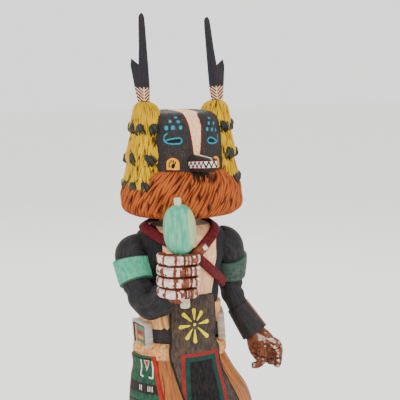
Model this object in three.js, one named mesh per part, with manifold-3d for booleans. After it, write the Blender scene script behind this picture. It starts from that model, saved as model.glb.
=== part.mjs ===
// Carved and painted wooden kachina doll standing on a low wooden base.
// Millimetres, +Z up. The figure faces -Y and its own right side is at -X. The origin is the middle of the
// base's underside.
import * as THREE from 'three';
import { mergeVertices } from 'three/addons/utils/BufferGeometryUtils.js';
import Module from 'manifold-3d';

// Clearance between pieces that touch
const gap = 0.3;

// Carved figure, from the soles to the top of the mask
const figureHeight = 287;

// Base slab
const baseWidth = 116;
const baseDepth = 90;
const baseThickness = 12;
const baseCornerRadius = 9;
const baseBevel = 1.4;

// Snout on the mask
const snoutLength = 22.5;
const snoutRootWidth = 11;
const snoutTipWidth = 9.4;
const snoutRootHeight = 10;
const snoutTipHeight = 8.2;

// Feathers set in the hair bundles
const rightFeatherLength = 53;
const leftFeatherLength = 50.6;
const featherThickness = 2.4;
const featherLeanBack = 12.5;
const featherLeanIn = 2.8;
const featherFoot = 3.6;
const quillRadius = 1.5;
const quillDepth = 7;

// Gourd rattle and its handle
const gourdWidth = 18.4;
const gourdHeight = 29.2;
const gourdThickness = 12.4;
const gourdTurn = 36;
const handleRadius = 2.9;
const stemRadius = 2.1;
const stemLength = 4;
const handleLength = 26.5;
const rattleLean = 4.3;

// Plaques on the belt
const plaqueWidth = 20;
const plaqueHeight = 17;
const plaqueThickness = 4.6;
const plaqueProud = 2.6;
const plaqueCorner = 1.2;

// Carved relief of belt, bands, strap, apron and sash over what they lie on
const beltHeight = 10.4;
const beltRelief = 1.2;
const armbandRelief = 1.3;
const armbandWidth = 15;
const strapWidth = 6.4;
const strapThickness = 2.4;
const apronRelief = 1.6;
const sashRelief = 1.2;
const strandDepth = 0.9;
const pleatDepth = 0.6;

// The figure's forms are given in units of 1/287 of its height, measured from the soles.
const unit = figureHeight / 287;

const wasm = await Module();
wasm.setup();

const point = (x, y, z) => new THREE.Vector3(x, y, z);
const radians = THREE.MathUtils.degToRad;

// Paints from the photograph
const paints = {
  black: [0x2a2623, 0.75],
  yellow: [0xc79a22, 0.75],
  turquoise: [0x6fb7a2, 0.7],
  silver: [0xa9a29c, 0.55],
  wood: [0x8a6743, 0.7],
};

// A row between the rows of a table: Catmull-Rom through the rows, at a place counted in rows.
function rowAt(rows, place) {
  const last = rows.length - 1;
  const low = Math.min(Math.floor(place), last - 1);
  const t = place - low;
  const before = rows[Math.max(low - 1, 0)];
  const after = rows[Math.min(low + 2, last)];
  return rows[low].map((value, k) => {
    const next = rows[low + 1][k];
    const slopeIn = (next - before[k]) / 2;
    const slopeOut = (after[k] - value) / 2;
    const a = 2 * value - 2 * next + slopeIn + slopeOut;
    const b = 3 * next - 3 * value - 2 * slopeIn - slopeOut;
    return ((a * t + b) * t + slopeIn) * t + value;
  });
}

// The rows of a table with a number of steps between each two.
function fineRows(rows, steps) {
  const count = (rows.length - 1) * steps;
  return Array.from({ length: count + 1 }, (_, i) => rowAt(rows, i / steps));
}

// A table whose first column rises, read at a height.
function rowAtHeight(rows, height) {
  let low = 0;
  while (low < rows.length - 2 && rows[low + 1][0] < height) {
    low += 1;
  }
  const span = rows[low + 1][0] - rows[low][0];
  const place = low + THREE.MathUtils.clamp((height - rows[low][0]) / span, 0, 1);
  return rowAt(rows, place);
}

// Closed skin over rings of points, with a fan at each end, its faces turned outward.
function skin(rings) {
  const sides = rings[0].length;
  const points = rings.flat();
  const index = [];
  for (let r = 0; r + 1 < rings.length; r += 1) {
    for (let s = 0; s < sides; s += 1) {
      const here = r * sides + s;
      const beside = r * sides + ((s + 1) % sides);
      index.push(here, beside, beside + sides, here, beside + sides, here + sides);
    }
  }
  const addFan = (ring, first, turned) => {
    const middle = ring.reduce((sum, p) => sum.add(p), point(0, 0, 0)).divideScalar(sides);
    const hub = points.push(middle) - 1;
    for (let s = 0; s < sides; s += 1) {
      const edge = [first + s, first + ((s + 1) % sides)];
      index.push(hub, ...(turned ? edge.reverse() : edge));
    }
  };
  addFan(rings[0], 0, true);
  addFan(rings[rings.length - 1], (rings.length - 1) * sides, false);
  let volume = 0;
  for (let i = 0; i < index.length; i += 3) {
    const [a, b, c] = [points[index[i]], points[index[i + 1]], points[index[i + 2]]];
    volume += a.dot(b.clone().cross(c));
  }
  if (volume < 0) {
    index.reverse();
  }
  const geometry = new THREE.BufferGeometry();
  const numbers = points.flatMap((p) => p.toArray());
  geometry.setAttribute('position', new THREE.Float32BufferAttribute(numbers, 3));
  geometry.setIndex(index);
  return geometry;
}

// Superellipse with half-axes a and b: square 2 is an ellipse, and higher is boxier.
function superellipse(angle, a, b, square = 2) {
  const power = 2 / square;
  const c = Math.cos(angle);
  const s = Math.sin(angle);
  return [a * Math.sign(c) * Math.abs(c) ** power, b * Math.sign(s) * Math.abs(s) ** power];
}

// Upright loft: each row is height, half-width, half-depth, and the middle's x and y, in units. grow adds
// millimetres to both half-axes, and relief(angle, height) adds millimetres outward.
function upright(rows, sides, { square = 2, steps = 1, grow = 0, relief = () => 0 } = {}) {
  const rings = fineRows(rows, steps).map(([z, a, b, x = 0, y = 0]) => (
    Array.from({ length: sides }, (_, i) => {
      const angle = (2 * Math.PI * i) / sides;
      const swell = grow + relief(angle, z);
      const [dx, dy] = superellipse(angle, a * unit + swell, b * unit + swell, square);
      return point(x * unit + dx, y * unit + dy, z * unit);
    })
  ));
  return skin(rings);
}

// Limb along a path: each row is the path point's x, y and z and two half-axes, in units. The first axis
// stays as level as the path lets it.
function limb(rows, sides, { steps = 2, grow = 0, square = 2 } = {}) {
  const stations = fineRows(rows, steps);
  const places = stations.map(([x, y, z]) => point(x, y, z));
  const rings = stations.map(([x, y, z, a, b], i) => {
    const ahead = places[Math.min(i + 1, places.length - 1)];
    const behind = places[Math.max(i - 1, 0)];
    const along = ahead.clone().sub(behind).normalize();
    const side = point(0, 0, 1).cross(along);
    if (side.length() < 0.2) {
      side.set(1, 0, 0).addScaledVector(along, -along.x);
    }
    side.normalize();
    const up = along.clone().cross(side);
    return Array.from({ length: sides }, (_, k) => {
      const angle = (2 * Math.PI * k) / sides;
      const [u, v] = superellipse(angle, a * unit + grow, b * unit + grow, square);
      return point(x, y, z).multiplyScalar(unit).addScaledVector(side, u).addScaledVector(up, v);
    });
  });
  return skin(rings);
}

// Flat strip laid along rows of x, y, z in units. Its thickness points away from the spine of the chest.
function strip(rows, width, thickness, steps = 2) {
  const places = fineRows(rows, steps).map(([x, y, z]) => point(x, y, z));
  const spine = point(0, 1, 188);
  const rings = places.map((place, i) => {
    const ahead = places[Math.min(i + 1, places.length - 1)];
    const behind = places[Math.max(i - 1, 0)];
    const along = ahead.clone().sub(behind).normalize();
    const outward = place.clone().sub(spine);
    outward.addScaledVector(along, -outward.dot(along)).normalize();
    const across = along.clone().cross(outward);
    const corners = [[-1, -1], [1, -1], [1, 1], [-1, 1]];
    return corners.map(([u, v]) => place.clone().multiplyScalar(unit)
      .addScaledVector(across, (u * width) / 2)
      .addScaledVector(outward, (v * thickness) / 2));
  });
  return skin(rings);
}

// Rounded lump with the given half-sizes, in units.
function lump([x, y, z], [a, b, c], around = 10, rows = 6) {
  const ball = new THREE.SphereGeometry(1, around, rows);
  ball.scale(a * unit, b * unit, c * unit);
  ball.translate(x * unit, y * unit, z * unit);
  return ball;
}

function solid(geometry) {
  const bare = geometry.clone();
  bare.deleteAttribute('normal');
  bare.deleteAttribute('uv');
  const merged = mergeVertices(bare, 1e-4);
  return new wasm.Manifold(new wasm.Mesh({
    numProp: 3,
    vertProperties: new Float32Array(merged.attributes.position.array),
    triVerts: new Uint32Array(merged.index.array),
  }));
}

// The solid without the closed crumbs of air that are left where its forms meet inside it.
function withoutAir(manifold) {
  return wasm.Manifold.compose(manifold.decompose().filter((shell) => shell.volume() > 0));
}

function joined(geometries) {
  return geometries.map(solid).reduce((whole, piece) => whole.add(piece));
}

function geometryOf(manifold) {
  const { vertProperties, triVerts } = manifold.getMesh();
  const geometry = new THREE.BufferGeometry();
  geometry.setAttribute('position', new THREE.BufferAttribute(vertProperties, 3));
  geometry.setIndex(new THREE.BufferAttribute(triVerts, 1));
  return geometry;
}

function piece(name, geometry, paint) {
  const [color, roughness] = paints[paint];
  const mesh = new THREE.Mesh(geometry, new THREE.MeshStandardMaterial({ color, roughness, metalness: 0 }));
  mesh.name = name;
  return mesh;
}

// Mask: an upright near-cylinder with a rounded rim and a slightly domed top
const maskRows = [
  [244, 26.3, 26.3], [256, 25.9, 25.9], [268, 25, 25], [277, 23.9, 23.9],
  [282, 22.7, 22.7], [285, 20.4, 20.4], [286.6, 16.5, 16.5], [287, 10, 10],
];
const mask = (grow = 0) => {
  const rows = maskRows.map(([z, a, b], i) => [z + (i > 4 ? grow / unit : 0), a, b]);
  return upright(rows, 28, { grow });
};

// Ruff of carved strands that slant as they go round
const ruffRows = [
  [223.5, 24, 19, 0.6], [225.2, 32, 26, 0.6], [228.6, 36.4, 29, 0.6], [235, 37.3, 30, 0.6],
  [243.6, 35.8, 29.4, 0.5], [251.4, 28.6, 27.2, 0.2], [253, 24, 24, 0],
];
const ruffLocks = 24;
const ruffSlant = -0.055;
const ruff = () => upright(ruffRows, ruffLocks * 3, {
  relief: (angle, z) => {
    const turn = ((angle / (2 * Math.PI)) * ruffLocks + (z - 238) * ruffSlant + ruffLocks) % 1;
    return (Math.abs(turn - 0.5) - 0.25) * 2 * strandDepth;
  },
});

// Trunk, neck and clothes
const trunkRows = [
  [138, 24.6, 20, -1.2, 0], [150, 23, 18.6, -1.2, 0], [160, 22.8, 18, -1, 0], [176, 23, 17.2, 0, 0],
  [190, 25, 18, 0, 0], [202, 27.5, 18.6, 0, 0], [210, 28.4, 17.4, 0, 0.5], [215, 24.6, 14.4, 0, 1],
  [218, 18.5, 12, 0, 1.2], [220.6, 12, 10.6, 0, 1], [225, 9.6, 9.6, 0, 0.5], [231, 9.4, 9.4, 0, 0],
];
const trunk = () => upright(trunkRows, 24, { square: 2.2 });

const shirtRows = [[157, 24.2, 20, -1.1, 0], [164, 25, 20.4, -1, 0], [170.8, 24.6, 19.4, -0.4, 0]];
const shirtPleats = 10;
const shirtTail = () => upright(shirtRows, shirtPleats * 3, {
  square: 2.2,
  relief: (angle) => (Math.cos(angle * shirtPleats) * pleatDepth) / 2,
});

const beltMiddle = 154.2;
const beltTilt = 4.4;
const hips = [23.6, 19.6, -0.7];
const beltBand = () => {
  const half = beltHeight / 2 / unit;
  const rows = [-1, 1].map((end) => [end * half, ...hips]);
  const band = upright(rows, 28, { square: 2.2, grow: beltRelief });
  band.rotateY(radians(-beltTilt));
  band.translate(0, 0, beltMiddle * unit);
  return band;
};

const rollRows = [
  [137.4, 26.2, 21.6, -1.1, 0], [139.2, 28.6, 23.3, -1.2, 0], [142, 29, 23.7, -1.2, 0],
  [145.4, 28.2, 23, -1.2, 0], [148.2, 24.8, 20.2, -1.1, 0],
];
const hipRoll = () => upright(rollRows, 24, { square: 2.1 });

const kiltRows = [
  [66, 41.4, 33.8, 9.6, 0], [90, 39.9, 32.6, 8.4, 0], [112, 37.6, 30.8, 6, 0], [127, 32.2, 27, 1.6, 0],
  [139.5, 27.4, 22.6, -0.9, 0],
];
const kiltPleats = 12;
const pleatsFade = { top: 140, full: 80 };
const kilt = () => upright(kiltRows, kiltPleats * 3, {
  relief: (angle, z) => {
    const fade = (pleatsFade.top - z) / (pleatsFade.top - pleatsFade.full);
    return pleatDepth * Math.cos(angle * kiltPleats) * THREE.MathUtils.clamp(fade, 0, 1);
  },
});

// Front of the clothes at a height: half-width, half-depth and middle
const frontRows = [
  [66, 41.4, 33.8, 9.6], [90, 39.9, 32.6, 8.4], [112, 37.6, 30.8, 6], [127, 32.2, 27, 1.6],
  [134, 29.4, 24.4, 0], [140, 29, 23.7, -1.1], [145.4, 28.4, 23.2, -1.2], [150, 25.4, 21, -1.2],
  [160, 25.4, 20.8, -1.1], [178, 24.2, 18.6, 0],
];

// Panel lying on the clothes: each row is height and the angles of its two edges from straight ahead, in
// degrees, positive toward the figure's left.
function panel(rows, relief, across) {
  const inset = 4;
  const rings = rows.map(([z, from, to]) => {
    const [, a, b, x] = rowAtHeight(frontRows, z);
    const place = (angle, out) => {
      const [dx, dy] = [Math.sin(angle) * (a * unit + out), -Math.cos(angle) * (b * unit + out)];
      return point(x * unit + dx, dy, z * unit);
    };
    const angles = Array.from({ length: across + 1 }, (_, i) => (
      radians(from + ((to - from) * i) / across)
    ));
    const outer = angles.map((angle) => place(angle, relief + pleatDepth));
    const inner = angles.reverse().map((angle) => place(angle, -inset * unit));
    return [...outer, ...inner];
  });
  return skin(rings);
}

const apronRows = [
  [70, -19, 35], [90, -21.5, 34], [112, -22.5, 33], [127, -25.5, 34.5], [140, -29.5, 36],
  [158, -31, 38], [177, -34, 36],
];
const apron = () => panel(apronRows, apronRelief, 7);

const sashRows = [[74, -98, -37], [92, -97, -40], [112, -96, -43.5], [126, -95.5, -46.5], [141, -95, -50]];
const sash = () => panel(sashRows, sashRelief, 5);

const strapRight = [
  [0, 15, 217], [-15, 13.5, 218.5], [-23.5, 2, 218], [-21.5, -11, 214.5], [-12, -17.8, 208.5],
  [2.4, -19.4, 200.5], [13, -17.6, 191.5], [23.4, -11.8, 182.5],
];
const strapLeft = [
  [0, 15, 217], [14, 13, 218], [20.6, 1, 218], [17, -11.5, 214.5], [8.6, -17.6, 207.8], [1, -19.2, 200.5],
];

// Arms, their bands, the flared cuff and the hands
const rightArmRows = [
  [-24.5, 2, 208, 8, 8.6], [-31.6, 0.5, 203.6, 11, 10.4], [-32.2, -3, 194, 9.7, 9.4],
  [-31, -9, 183, 8.9, 8.8], [-28.6, -16, 174.6, 9.2, 8.4], [-24.6, -23.5, 175, 9, 8.6],
  [-21.6, -29.5, 180.5, 9, 8.6], [-19.2, -33.5, 186, 8.6, 8.2],
];
const rightArm = () => limb(rightArmRows, 10, { steps: 1 });
const leftArmRows = [
  [23.5, 1, 208, 8, 8.6], [29.8, 0.5, 204, 10.6, 10.4], [33.4, 2.4, 194.5, 9.4, 9.6],
  [35.4, 6.3, 184, 8.3, 8.4], [36.2, 7, 173.6, 7.2, 7.6], [40.2, 4.6, 162.6, 6.4, 6.8],
  [46.6, 0.6, 149.8, 6, 6.2], [50.4, -2, 142, 5.6, 6],
];
const leftArm = () => limb(leftArmRows, 10, { steps: 1 });

// Band round a limb between two places counted in rows.
function band(rows, middle, width, relief, sides = 12) {
  const [x0, y0, z0] = rowAt(rows, middle - 0.5);
  const [x1, y1, z1] = rowAt(rows, middle + 0.5);
  const length = Math.hypot(x1 - x0, y1 - y0, z1 - z0) * unit;
  const half = width / length / 2;
  const pieces = [-half, 0, half].map((step) => rowAt(rows, middle + step));
  return limb(pieces, sides, { steps: 1, grow: relief });
}
const rightArmband = () => band(rightArmRows, 2.15, armbandWidth, armbandRelief);
const leftArmband = () => band(leftArmRows, 2.55, armbandWidth, armbandRelief);
const cuffRows = [[39.8, 5, 163, 7.2, 7.2], [44.6, 2.4, 154.6, 8, 8], [49.4, -0.4, 146.2, 8.7, 8.7]];
const cuff = () => limb(cuffRows, 12, { steps: 1 });

const rattlePlace = point(-14.4, -41, 190).multiplyScalar(unit);
const rightFistHeights = [204.8, 198.2, 191.6, 185];
const rightHand = () => {
  const fingers = rightFistHeights.map((z, i) => {
    const drop = 0.9 * (i === 3);
    return limb([
      [-25, -33.5, z, 3, 3.2], [-26.6 + drop, -39, z, 3.2, 3.3], [-23.4 + drop, -45.4, z, 3.3, 3.4],
      [-16, -47.4, z, 3.4, 3.4], [-9.6 - drop, -46, z, 3.3, 3.2], [-7.6 - drop, -41, z, 2.7, 2.9],
    ], 6, { steps: 1, square: 2.4 });
  });
  const palm = limb([
    [-17.6, -37, 179, 6.4, 6], [-17.4, -37.6, 183, 9, 8.4], [-17.2, -37.8, 192, 9.8, 8.8],
    [-17, -37.8, 202, 9.2, 8.4], [-16.8, -37.4, 206.6, 7, 6.2],
  ], 10, { steps: 1, square: 2.6 });
  const thumb = limb([
    [-14, -36.5, 202, 3.2, 3.2], [-8.6, -38.5, 205.4, 3.3, 3.2], [-3.8, -40.5, 208.6, 3.1, 2.9],
    [-0.2, -42, 211.2, 2.3, 2.1],
  ], 6, { steps: 1 });
  return [...fingers, palm, thumb];
};

const leftHand = () => {
  const fingers = [-9.2, -4.6, 0, 4.4].map((y, i) => limb([
    [56, y + 1, 141.6 - i, 3.2, 3], [62.2, y, 139 - i, 3.1, 3.1], [64.2, y - 0.4, 133.6 - i, 3, 3],
    [61.4, y - 0.8, 128 - i * 0.5, 2.8, 2.8], [57, y - 0.4, 128.2, 2.6, 2.6],
  ], 6, { steps: 1 }));
  const core = lump([59.6, -2.4, 135], [3.8, 7.6, 6.4], 8, 5);
  const palm = limb([
    [48.5, -1, 147, 5.4, 5.8], [51.4, -2, 142, 7.2, 8.2], [54.4, -2.6, 136.2, 7.8, 9],
    [56.4, -2.6, 131, 6, 7.6],
  ], 10, { steps: 1 });
  const thumb = limb([
    [49.5, -7.5, 141, 3.6, 3.6], [47.4, -10, 136, 3.2, 3.2], [45, -11, 131, 2.8, 2.8],
    [42.6, -11.2, 127.8, 2.2, 2.2],
  ], 6, { steps: 1 });
  return [...fingers, core, palm, thumb];
};

// Legs and moccasins under the kilt
const feet = [[-12, 4], [28, 3]];
const leg = ([x, y]) => upright([
  [14, 8.6, 9.6, x, y], [26, 9, 9.8, x, y], [46, 11.2, 11.6, x, y], [72, 13, 13, x, y],
], 10);
const moccasin = ([x, y]) => upright([
  [0, 9.6, 18.8, x, y - 7], [3, 10.8, 20, x, y - 7], [11, 10.4, 15, x, y - 3.6], [16, 10, 12, x, y - 0.6],
  [27, 10.1, 11.1, x, y],
], 12, { square: 2.3 });

// Hair bundle: three tiers of strands, each ending in rounded tufts. side is -1 for the figure's right.
// Each row is height, half-width, half-depth and the middle's distance from the figure's middle.
const bundleTop = 292.6;
const bundleReach = { right: 1, left: 0.93 };
const tiers = [
  [
    [272.5, 8.4, 11.8, 21.6], [277, 9.1, 12.8, 21.6], [284.5, 8.4, 12, 21.8], [290, 6.4, 9, 22.4],
    [bundleTop, 3.4, 4.4, 23],
  ],
  [
    [256, 9.4, 14, 22.6], [259.5, 10.4, 15.2, 22.6], [267, 10, 14.6, 22.4], [275, 8.6, 12.4, 21.8],
    [281, 6, 9, 21.6],
  ],
  [
    [240, 9.8, 15.6, 23.4], [243.4, 11.2, 17.2, 23.4], [250, 11, 16.8, 23.2], [256, 10, 15, 22.8],
    [262, 7.4, 11.4, 22.4],
  ],
];
const tuftAngles = [[-84, -38, -5, 45], [-77, -20, 40], [-62, -28, 4, 48]];
const tuftSize = [3.4, 4.4, 4.6];
const tuftInset = 1.9;
const bundleStrands = 9;
function bundleRows(tier, side) {
  const reach = side < 0 ? bundleReach.right : bundleReach.left;
  return tiers[tier].map(([z, a, b, x]) => [bundleTop - (bundleTop - z) * reach, a, b, side * x, 0]);
}
function bundleForms(side) {
  return tiers.flatMap((_rows, tier) => {
    const rows = bundleRows(tier, side);
    const hair = upright(rows, bundleStrands * 2, {
      square: 2.2,
      relief: (angle, z) => Math.cos(angle * bundleStrands + z * 0.1) * strandDepth * 0.4,
    });
    const [z, a, b, x] = rows[1];
    const tufts = tuftAngles[tier].map((degrees) => {
      const angle = radians(degrees);
      const [dx, dy] = superellipse(angle, a - tuftInset, b - tuftInset, 2.2);
      return lump([x + side * dx, dy, z], tuftSize, 6, 4);
    });
    return [hair, ...tufts];
  });
}

// The ruff's seat for a bundle clears its lowest tier and that tier's tufts.
function bundleSeat(side) {
  const rows = bundleRows(2, side);
  const reach = tuftSize[1] - tuftInset + gap / unit;
  rows[0] = [...rows[1]];
  rows[0][0] -= tuftSize[2] + gap / unit;
  return upright(rows.map(([z, a, b, x, y]) => [z, a + reach, b + reach, x, y]), 14, { square: 2.2 });
}

// Feather in its own plane: x outward from the figure's middle, y along the quill. The outer barb stands
// apart from the long blade.
function featherOutline(length) {
  const share = length / 55;
  const outline = new THREE.Shape();
  outline.moveTo(-featherFoot, 0);
  outline.lineTo(-4, 7.5 * share);
  outline.lineTo(-3.5, 22 * share);
  outline.lineTo(-2.2, 49 * share);
  outline.quadraticCurveTo(-1.9, 54 * share, -0.2, length);
  outline.quadraticCurveTo(1.6, 54 * share, 1.7, 49 * share);
  outline.lineTo(1.9, 34 * share);
  outline.lineTo(2.4, 22 * share);
  outline.lineTo(7, 26.4 * share);
  outline.lineTo(7.5, 22 * share);
  outline.lineTo(5.2, 8 * share);
  outline.lineTo(featherFoot, 0);
  return outline;
}

function feather(length) {
  const blade = new THREE.ExtrudeGeometry(featherOutline(length), {
    depth: featherThickness,
    bevelEnabled: false,
    curveSegments: 3,
  });
  blade.translate(0, 0, -featherThickness / 2);
  const quill = quillPeg(0);
  return joined([blade, quill]);
}

function quillPeg(grow) {
  const overlap = 3;
  const radius = quillRadius + grow;
  const peg = new THREE.CylinderGeometry(radius, radius, quillDepth + overlap + grow, 10);
  peg.translate(0, (overlap - quillDepth - grow) / 2, 0);
  return peg;
}

// Room in a bundle's top for the quill and for the foot of the blade that stands on it
function featherSocket() {
  const footHeight = 4;
  const foot = new THREE.BoxGeometry(2 * (featherFoot + gap), footHeight, featherThickness + 2 * gap);
  foot.translate(0, footHeight / 2 - gap, 0);
  return joined([quillPeg(gap), foot]);
}

// A feather's stand: on top of its bundle, leaning back and in, its plane across the figure.
const featherMiddle = 23.6;
function featherStand(side) {
  const stand = new THREE.Group();
  stand.position.set(side * featherMiddle * unit, 0, bundleTop * unit + gap);
  stand.rotation.set(Math.PI / 2 - radians(featherLeanBack), 0, 0);
  const lean = new THREE.Group();
  lean.rotation.set(0, 0, radians(side * featherLeanIn));
  stand.add(lean);
  stand.updateMatrixWorld(true);
  return { stand, lean };
}

// Rattle along its own +Z, its origin in the middle of the fist
const gourdBottom = 17;
function rattleHandle(grow) {
  const top = gourdBottom + gourdHeight + stemLength;
  const bottom = gourdBottom - handleLength;
  const length = top - bottom + 2 * grow;
  const handle = new THREE.CylinderGeometry(stemRadius + grow, handleRadius + grow, length, 12);
  handle.rotateX(Math.PI / 2);
  handle.translate(0, 0, (top + bottom) / 2);
  return handle;
}

// Flattened gourd: oval from the front, with a flat face that turns toward the figure's right
function gourd(grow) {
  const count = 8;
  const around = 20;
  const oval = 2.4;
  const flatness = 3.4;
  const rings = Array.from({ length: count }, (_, i) => {
    const rise = -Math.cos((Math.PI * (i + 0.35)) / (count - 0.3));
    const wide = (1 - Math.abs(rise) ** oval) ** (1 / oval) / 2;
    const thick = (1 - Math.abs(rise) ** flatness) ** (1 / flatness) / 2;
    return Array.from({ length: around }, (_unused, k) => {
      const angle = (2 * Math.PI * k) / around;
      const [x, y] = superellipse(angle, wide * gourdWidth + grow, thick * gourdThickness + grow, flatness);
      return point(x, y, gourdBottom + gourdHeight / 2 + rise * (gourdHeight / 2 + grow));
    });
  });
  const form = skin(rings);
  form.rotateZ(radians(-gourdTurn));
  return form;
}

// Snout along -Y from inside the mask, with a level top
const snoutTop = 262.8;
const maskFront = 25.6;
function snoutForm() {
  const places = [-0.35, 0, 0.5, 0.86, 0.97, 1];
  const ends = [1, 1, 1, 1, 0.86, 0.6];
  const around = 16;
  const rings = places.map((along, i) => {
    const share = Math.max(along, 0);
    const width = THREE.MathUtils.lerp(snoutRootWidth, snoutTipWidth, share);
    const height = THREE.MathUtils.lerp(snoutRootHeight, snoutTipHeight, share);
    const y = -maskFront * unit - along * snoutLength;
    return Array.from({ length: around }, (_, k) => {
      const angle = (2 * Math.PI * k) / around;
      const [x, z] = superellipse(angle, (width / 2) * ends[i], (height / 2) * ends[i], 3);
      return point(x, y, snoutTop * unit - height / 2 + z);
    });
  });
  return skin(rings);
}

// Plaque let into the belt at the hip: a slab with cut corners, its outer face proud of the belt
const plaqueFacing = { right: -85, left: 71 };
function plaqueForm(facing, grow) {
  const [a, b, x] = hips;
  const angle = radians(facing);
  const [w, h, r] = [plaqueWidth / 2 + grow, plaqueHeight / 2 + grow, plaqueCorner];
  const shape = new THREE.Shape();
  shape.moveTo(-w + r, -h);
  shape.lineTo(w - r, -h);
  shape.lineTo(w, -h + r);
  shape.lineTo(w, h - r);
  shape.lineTo(w - r, h);
  shape.lineTo(-w + r, h);
  shape.lineTo(-w, h - r);
  shape.lineTo(-w, -h + r);
  const slab = new THREE.ExtrudeGeometry(shape, { depth: plaqueThickness + 2 * grow, bevelEnabled: false });
  slab.translate(0, 0, beltRelief + plaqueProud - plaqueThickness - grow);
  slab.rotateX(Math.PI / 2);
  slab.rotateZ(angle);
  const [outX, outY] = [(x + Math.sin(angle) * a) * unit, -Math.cos(angle) * b * unit];
  slab.rotateY(radians(-beltTilt));
  slab.translate(outX, outY, beltMiddle * unit + outX * Math.tan(radians(beltTilt)));
  return slab;
}

// The figure: everything carved as one, seated for the bundles, with its fist bored for the handle
const rattle = new THREE.Group();
rattle.position.copy(rattlePlace);
rattle.rotation.set(0, radians(-rattleLean), 0);
rattle.updateMatrixWorld(true);

const body = joined([
  ruff(), trunk(), shirtTail(), beltBand(), hipRoll(), kilt(), apron(), sash(),
  strip(strapRight, strapWidth, strapThickness), strip(strapLeft, strapWidth, strapThickness),
  rightArm(), leftArm(), rightArmband(), leftArmband(), cuff(), ...rightHand(), ...leftHand(),
  ...feet.map(leg), ...feet.map(moccasin),
]);
const seats = joined([
  bundleSeat(-1), bundleSeat(1), plaqueForm(plaqueFacing.right, gap), plaqueForm(plaqueFacing.left, gap),
]);
const rattleRoom = [gourd(gap), rattleHandle(gap)].map((form) => form.applyMatrix4(rattle.matrixWorld));
const rattleClear = joined(rattleRoom);
const figure = withoutAir(body.subtract(seats).add(solid(mask())).subtract(rattleClear));

const maskClear = solid(mask(gap));
function bundle(side) {
  const { lean } = featherStand(side);
  const socket = featherSocket().transform(lean.matrixWorld.elements);
  return joined(bundleForms(side)).subtract(maskClear).subtract(socket);
}

const doll = new THREE.Group();
doll.position.z = baseThickness + gap;
doll.add(piece('carved_figure', geometryOf(figure), 'black'));
doll.add(piece('snout', geometryOf(solid(snoutForm()).subtract(maskClear)), 'black'));
for (const [name, side, length] of [['right', -1, rightFeatherLength], ['left', 1, leftFeatherLength]]) {
  doll.add(piece(`${name}_hair_bundle`, geometryOf(bundle(side)), 'yellow'));
  const { stand, lean } = featherStand(side);
  const geometry = geometryOf(feather(length));
  if (side < 0) {
    geometry.rotateY(Math.PI);
  }
  lean.add(piece(`${name}_feather`, geometry, 'black'));
  doll.add(stand);
  doll.add(piece(`${name}_belt_plaque`, plaqueForm(plaqueFacing[name], 0), 'silver'));
}
rattle.add(piece('gourd_rattle', geometryOf(joined([gourd(0), rattleHandle(0)])), 'turquoise'));
doll.add(rattle);

function baseSlab() {
  const [w, d, r] = [baseWidth / 2 - baseBevel, baseDepth / 2 - baseBevel, baseCornerRadius - baseBevel];
  const shape = new THREE.Shape();
  shape.moveTo(-w + r, -d);
  shape.lineTo(w - r, -d);
  shape.absarc(w - r, -d + r, r, -Math.PI / 2, 0);
  shape.lineTo(w, d - r);
  shape.absarc(w - r, d - r, r, 0, Math.PI / 2);
  shape.lineTo(-w + r, d);
  shape.absarc(-w + r, d - r, r, Math.PI / 2, Math.PI);
  shape.lineTo(-w, -d + r);
  shape.absarc(-w + r, -d + r, r, Math.PI, Math.PI * 1.5);
  const slab = new THREE.ExtrudeGeometry(shape, {
    depth: baseThickness - 2 * baseBevel,
    bevelEnabled: true,
    bevelSize: baseBevel,
    bevelThickness: baseBevel,
    bevelSegments: 1,
    curveSegments: 3,
  });
  slab.translate(0, 0, baseBevel);
  return slab;
}

const kachinaDoll = new THREE.Group();
kachinaDoll.add(doll, piece('base', geometryOf(solid(baseSlab())), 'wood'));

export default kachinaDoll;
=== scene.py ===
import math
import bpy
import numpy as np
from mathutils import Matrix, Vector


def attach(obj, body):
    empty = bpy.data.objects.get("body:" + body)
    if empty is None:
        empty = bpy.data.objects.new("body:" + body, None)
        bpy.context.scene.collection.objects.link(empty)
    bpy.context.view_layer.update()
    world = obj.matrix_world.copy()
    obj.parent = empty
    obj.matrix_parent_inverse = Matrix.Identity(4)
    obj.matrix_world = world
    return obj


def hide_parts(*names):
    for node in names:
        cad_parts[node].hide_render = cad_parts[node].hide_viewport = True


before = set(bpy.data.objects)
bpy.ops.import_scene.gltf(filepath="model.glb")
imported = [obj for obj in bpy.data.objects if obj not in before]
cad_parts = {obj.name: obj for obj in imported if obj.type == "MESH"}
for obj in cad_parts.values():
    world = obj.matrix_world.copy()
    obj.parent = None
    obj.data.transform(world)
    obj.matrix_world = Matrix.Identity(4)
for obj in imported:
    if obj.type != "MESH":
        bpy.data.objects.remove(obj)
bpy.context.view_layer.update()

# Painted wooden kachina doll. Lengths are in mm, heights are from the soles, and a turn is an angle
# round the figure from straight ahead, positive toward the figure's left (+X). A field is a signed
# distance in mm kept on a mesh's points, positive where its paint lies. A cut is 1 in the bottom of a
# carved groove, 0 on the ridge.
soleHeight = 12.3    # above the floor
gap = 0.3            # between glued pieces
unpainted = -9       # a field far from its paint
sharpAngle = 55      # degrees between faces that meet in a hard edge
mm = 0.001           # in metres
tau = 2 * math.pi
sides = {"right": -1, "left": 1}


# Rows between the rows of a table: Catmull-Rom, at places counted in rows
def rowsAt(rows, places):
    rows = np.array(rows, float)
    last = len(rows) - 1
    low = np.clip(np.floor(places).astype(int), 0, last - 1)
    t = (places - low)[:, None]
    here, ahead = rows[low], rows[low + 1]
    slopeIn = (ahead - rows[np.maximum(low - 1, 0)]) / 2
    slopeOut = (rows[np.minimum(low + 2, last)] - here) / 2
    a = 2 * here - 2 * ahead + slopeIn + slopeOut
    b = 3 * ahead - 3 * here - 2 * slopeIn - slopeOut
    return ((a * t + b) * t + slopeIn) * t + here


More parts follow.
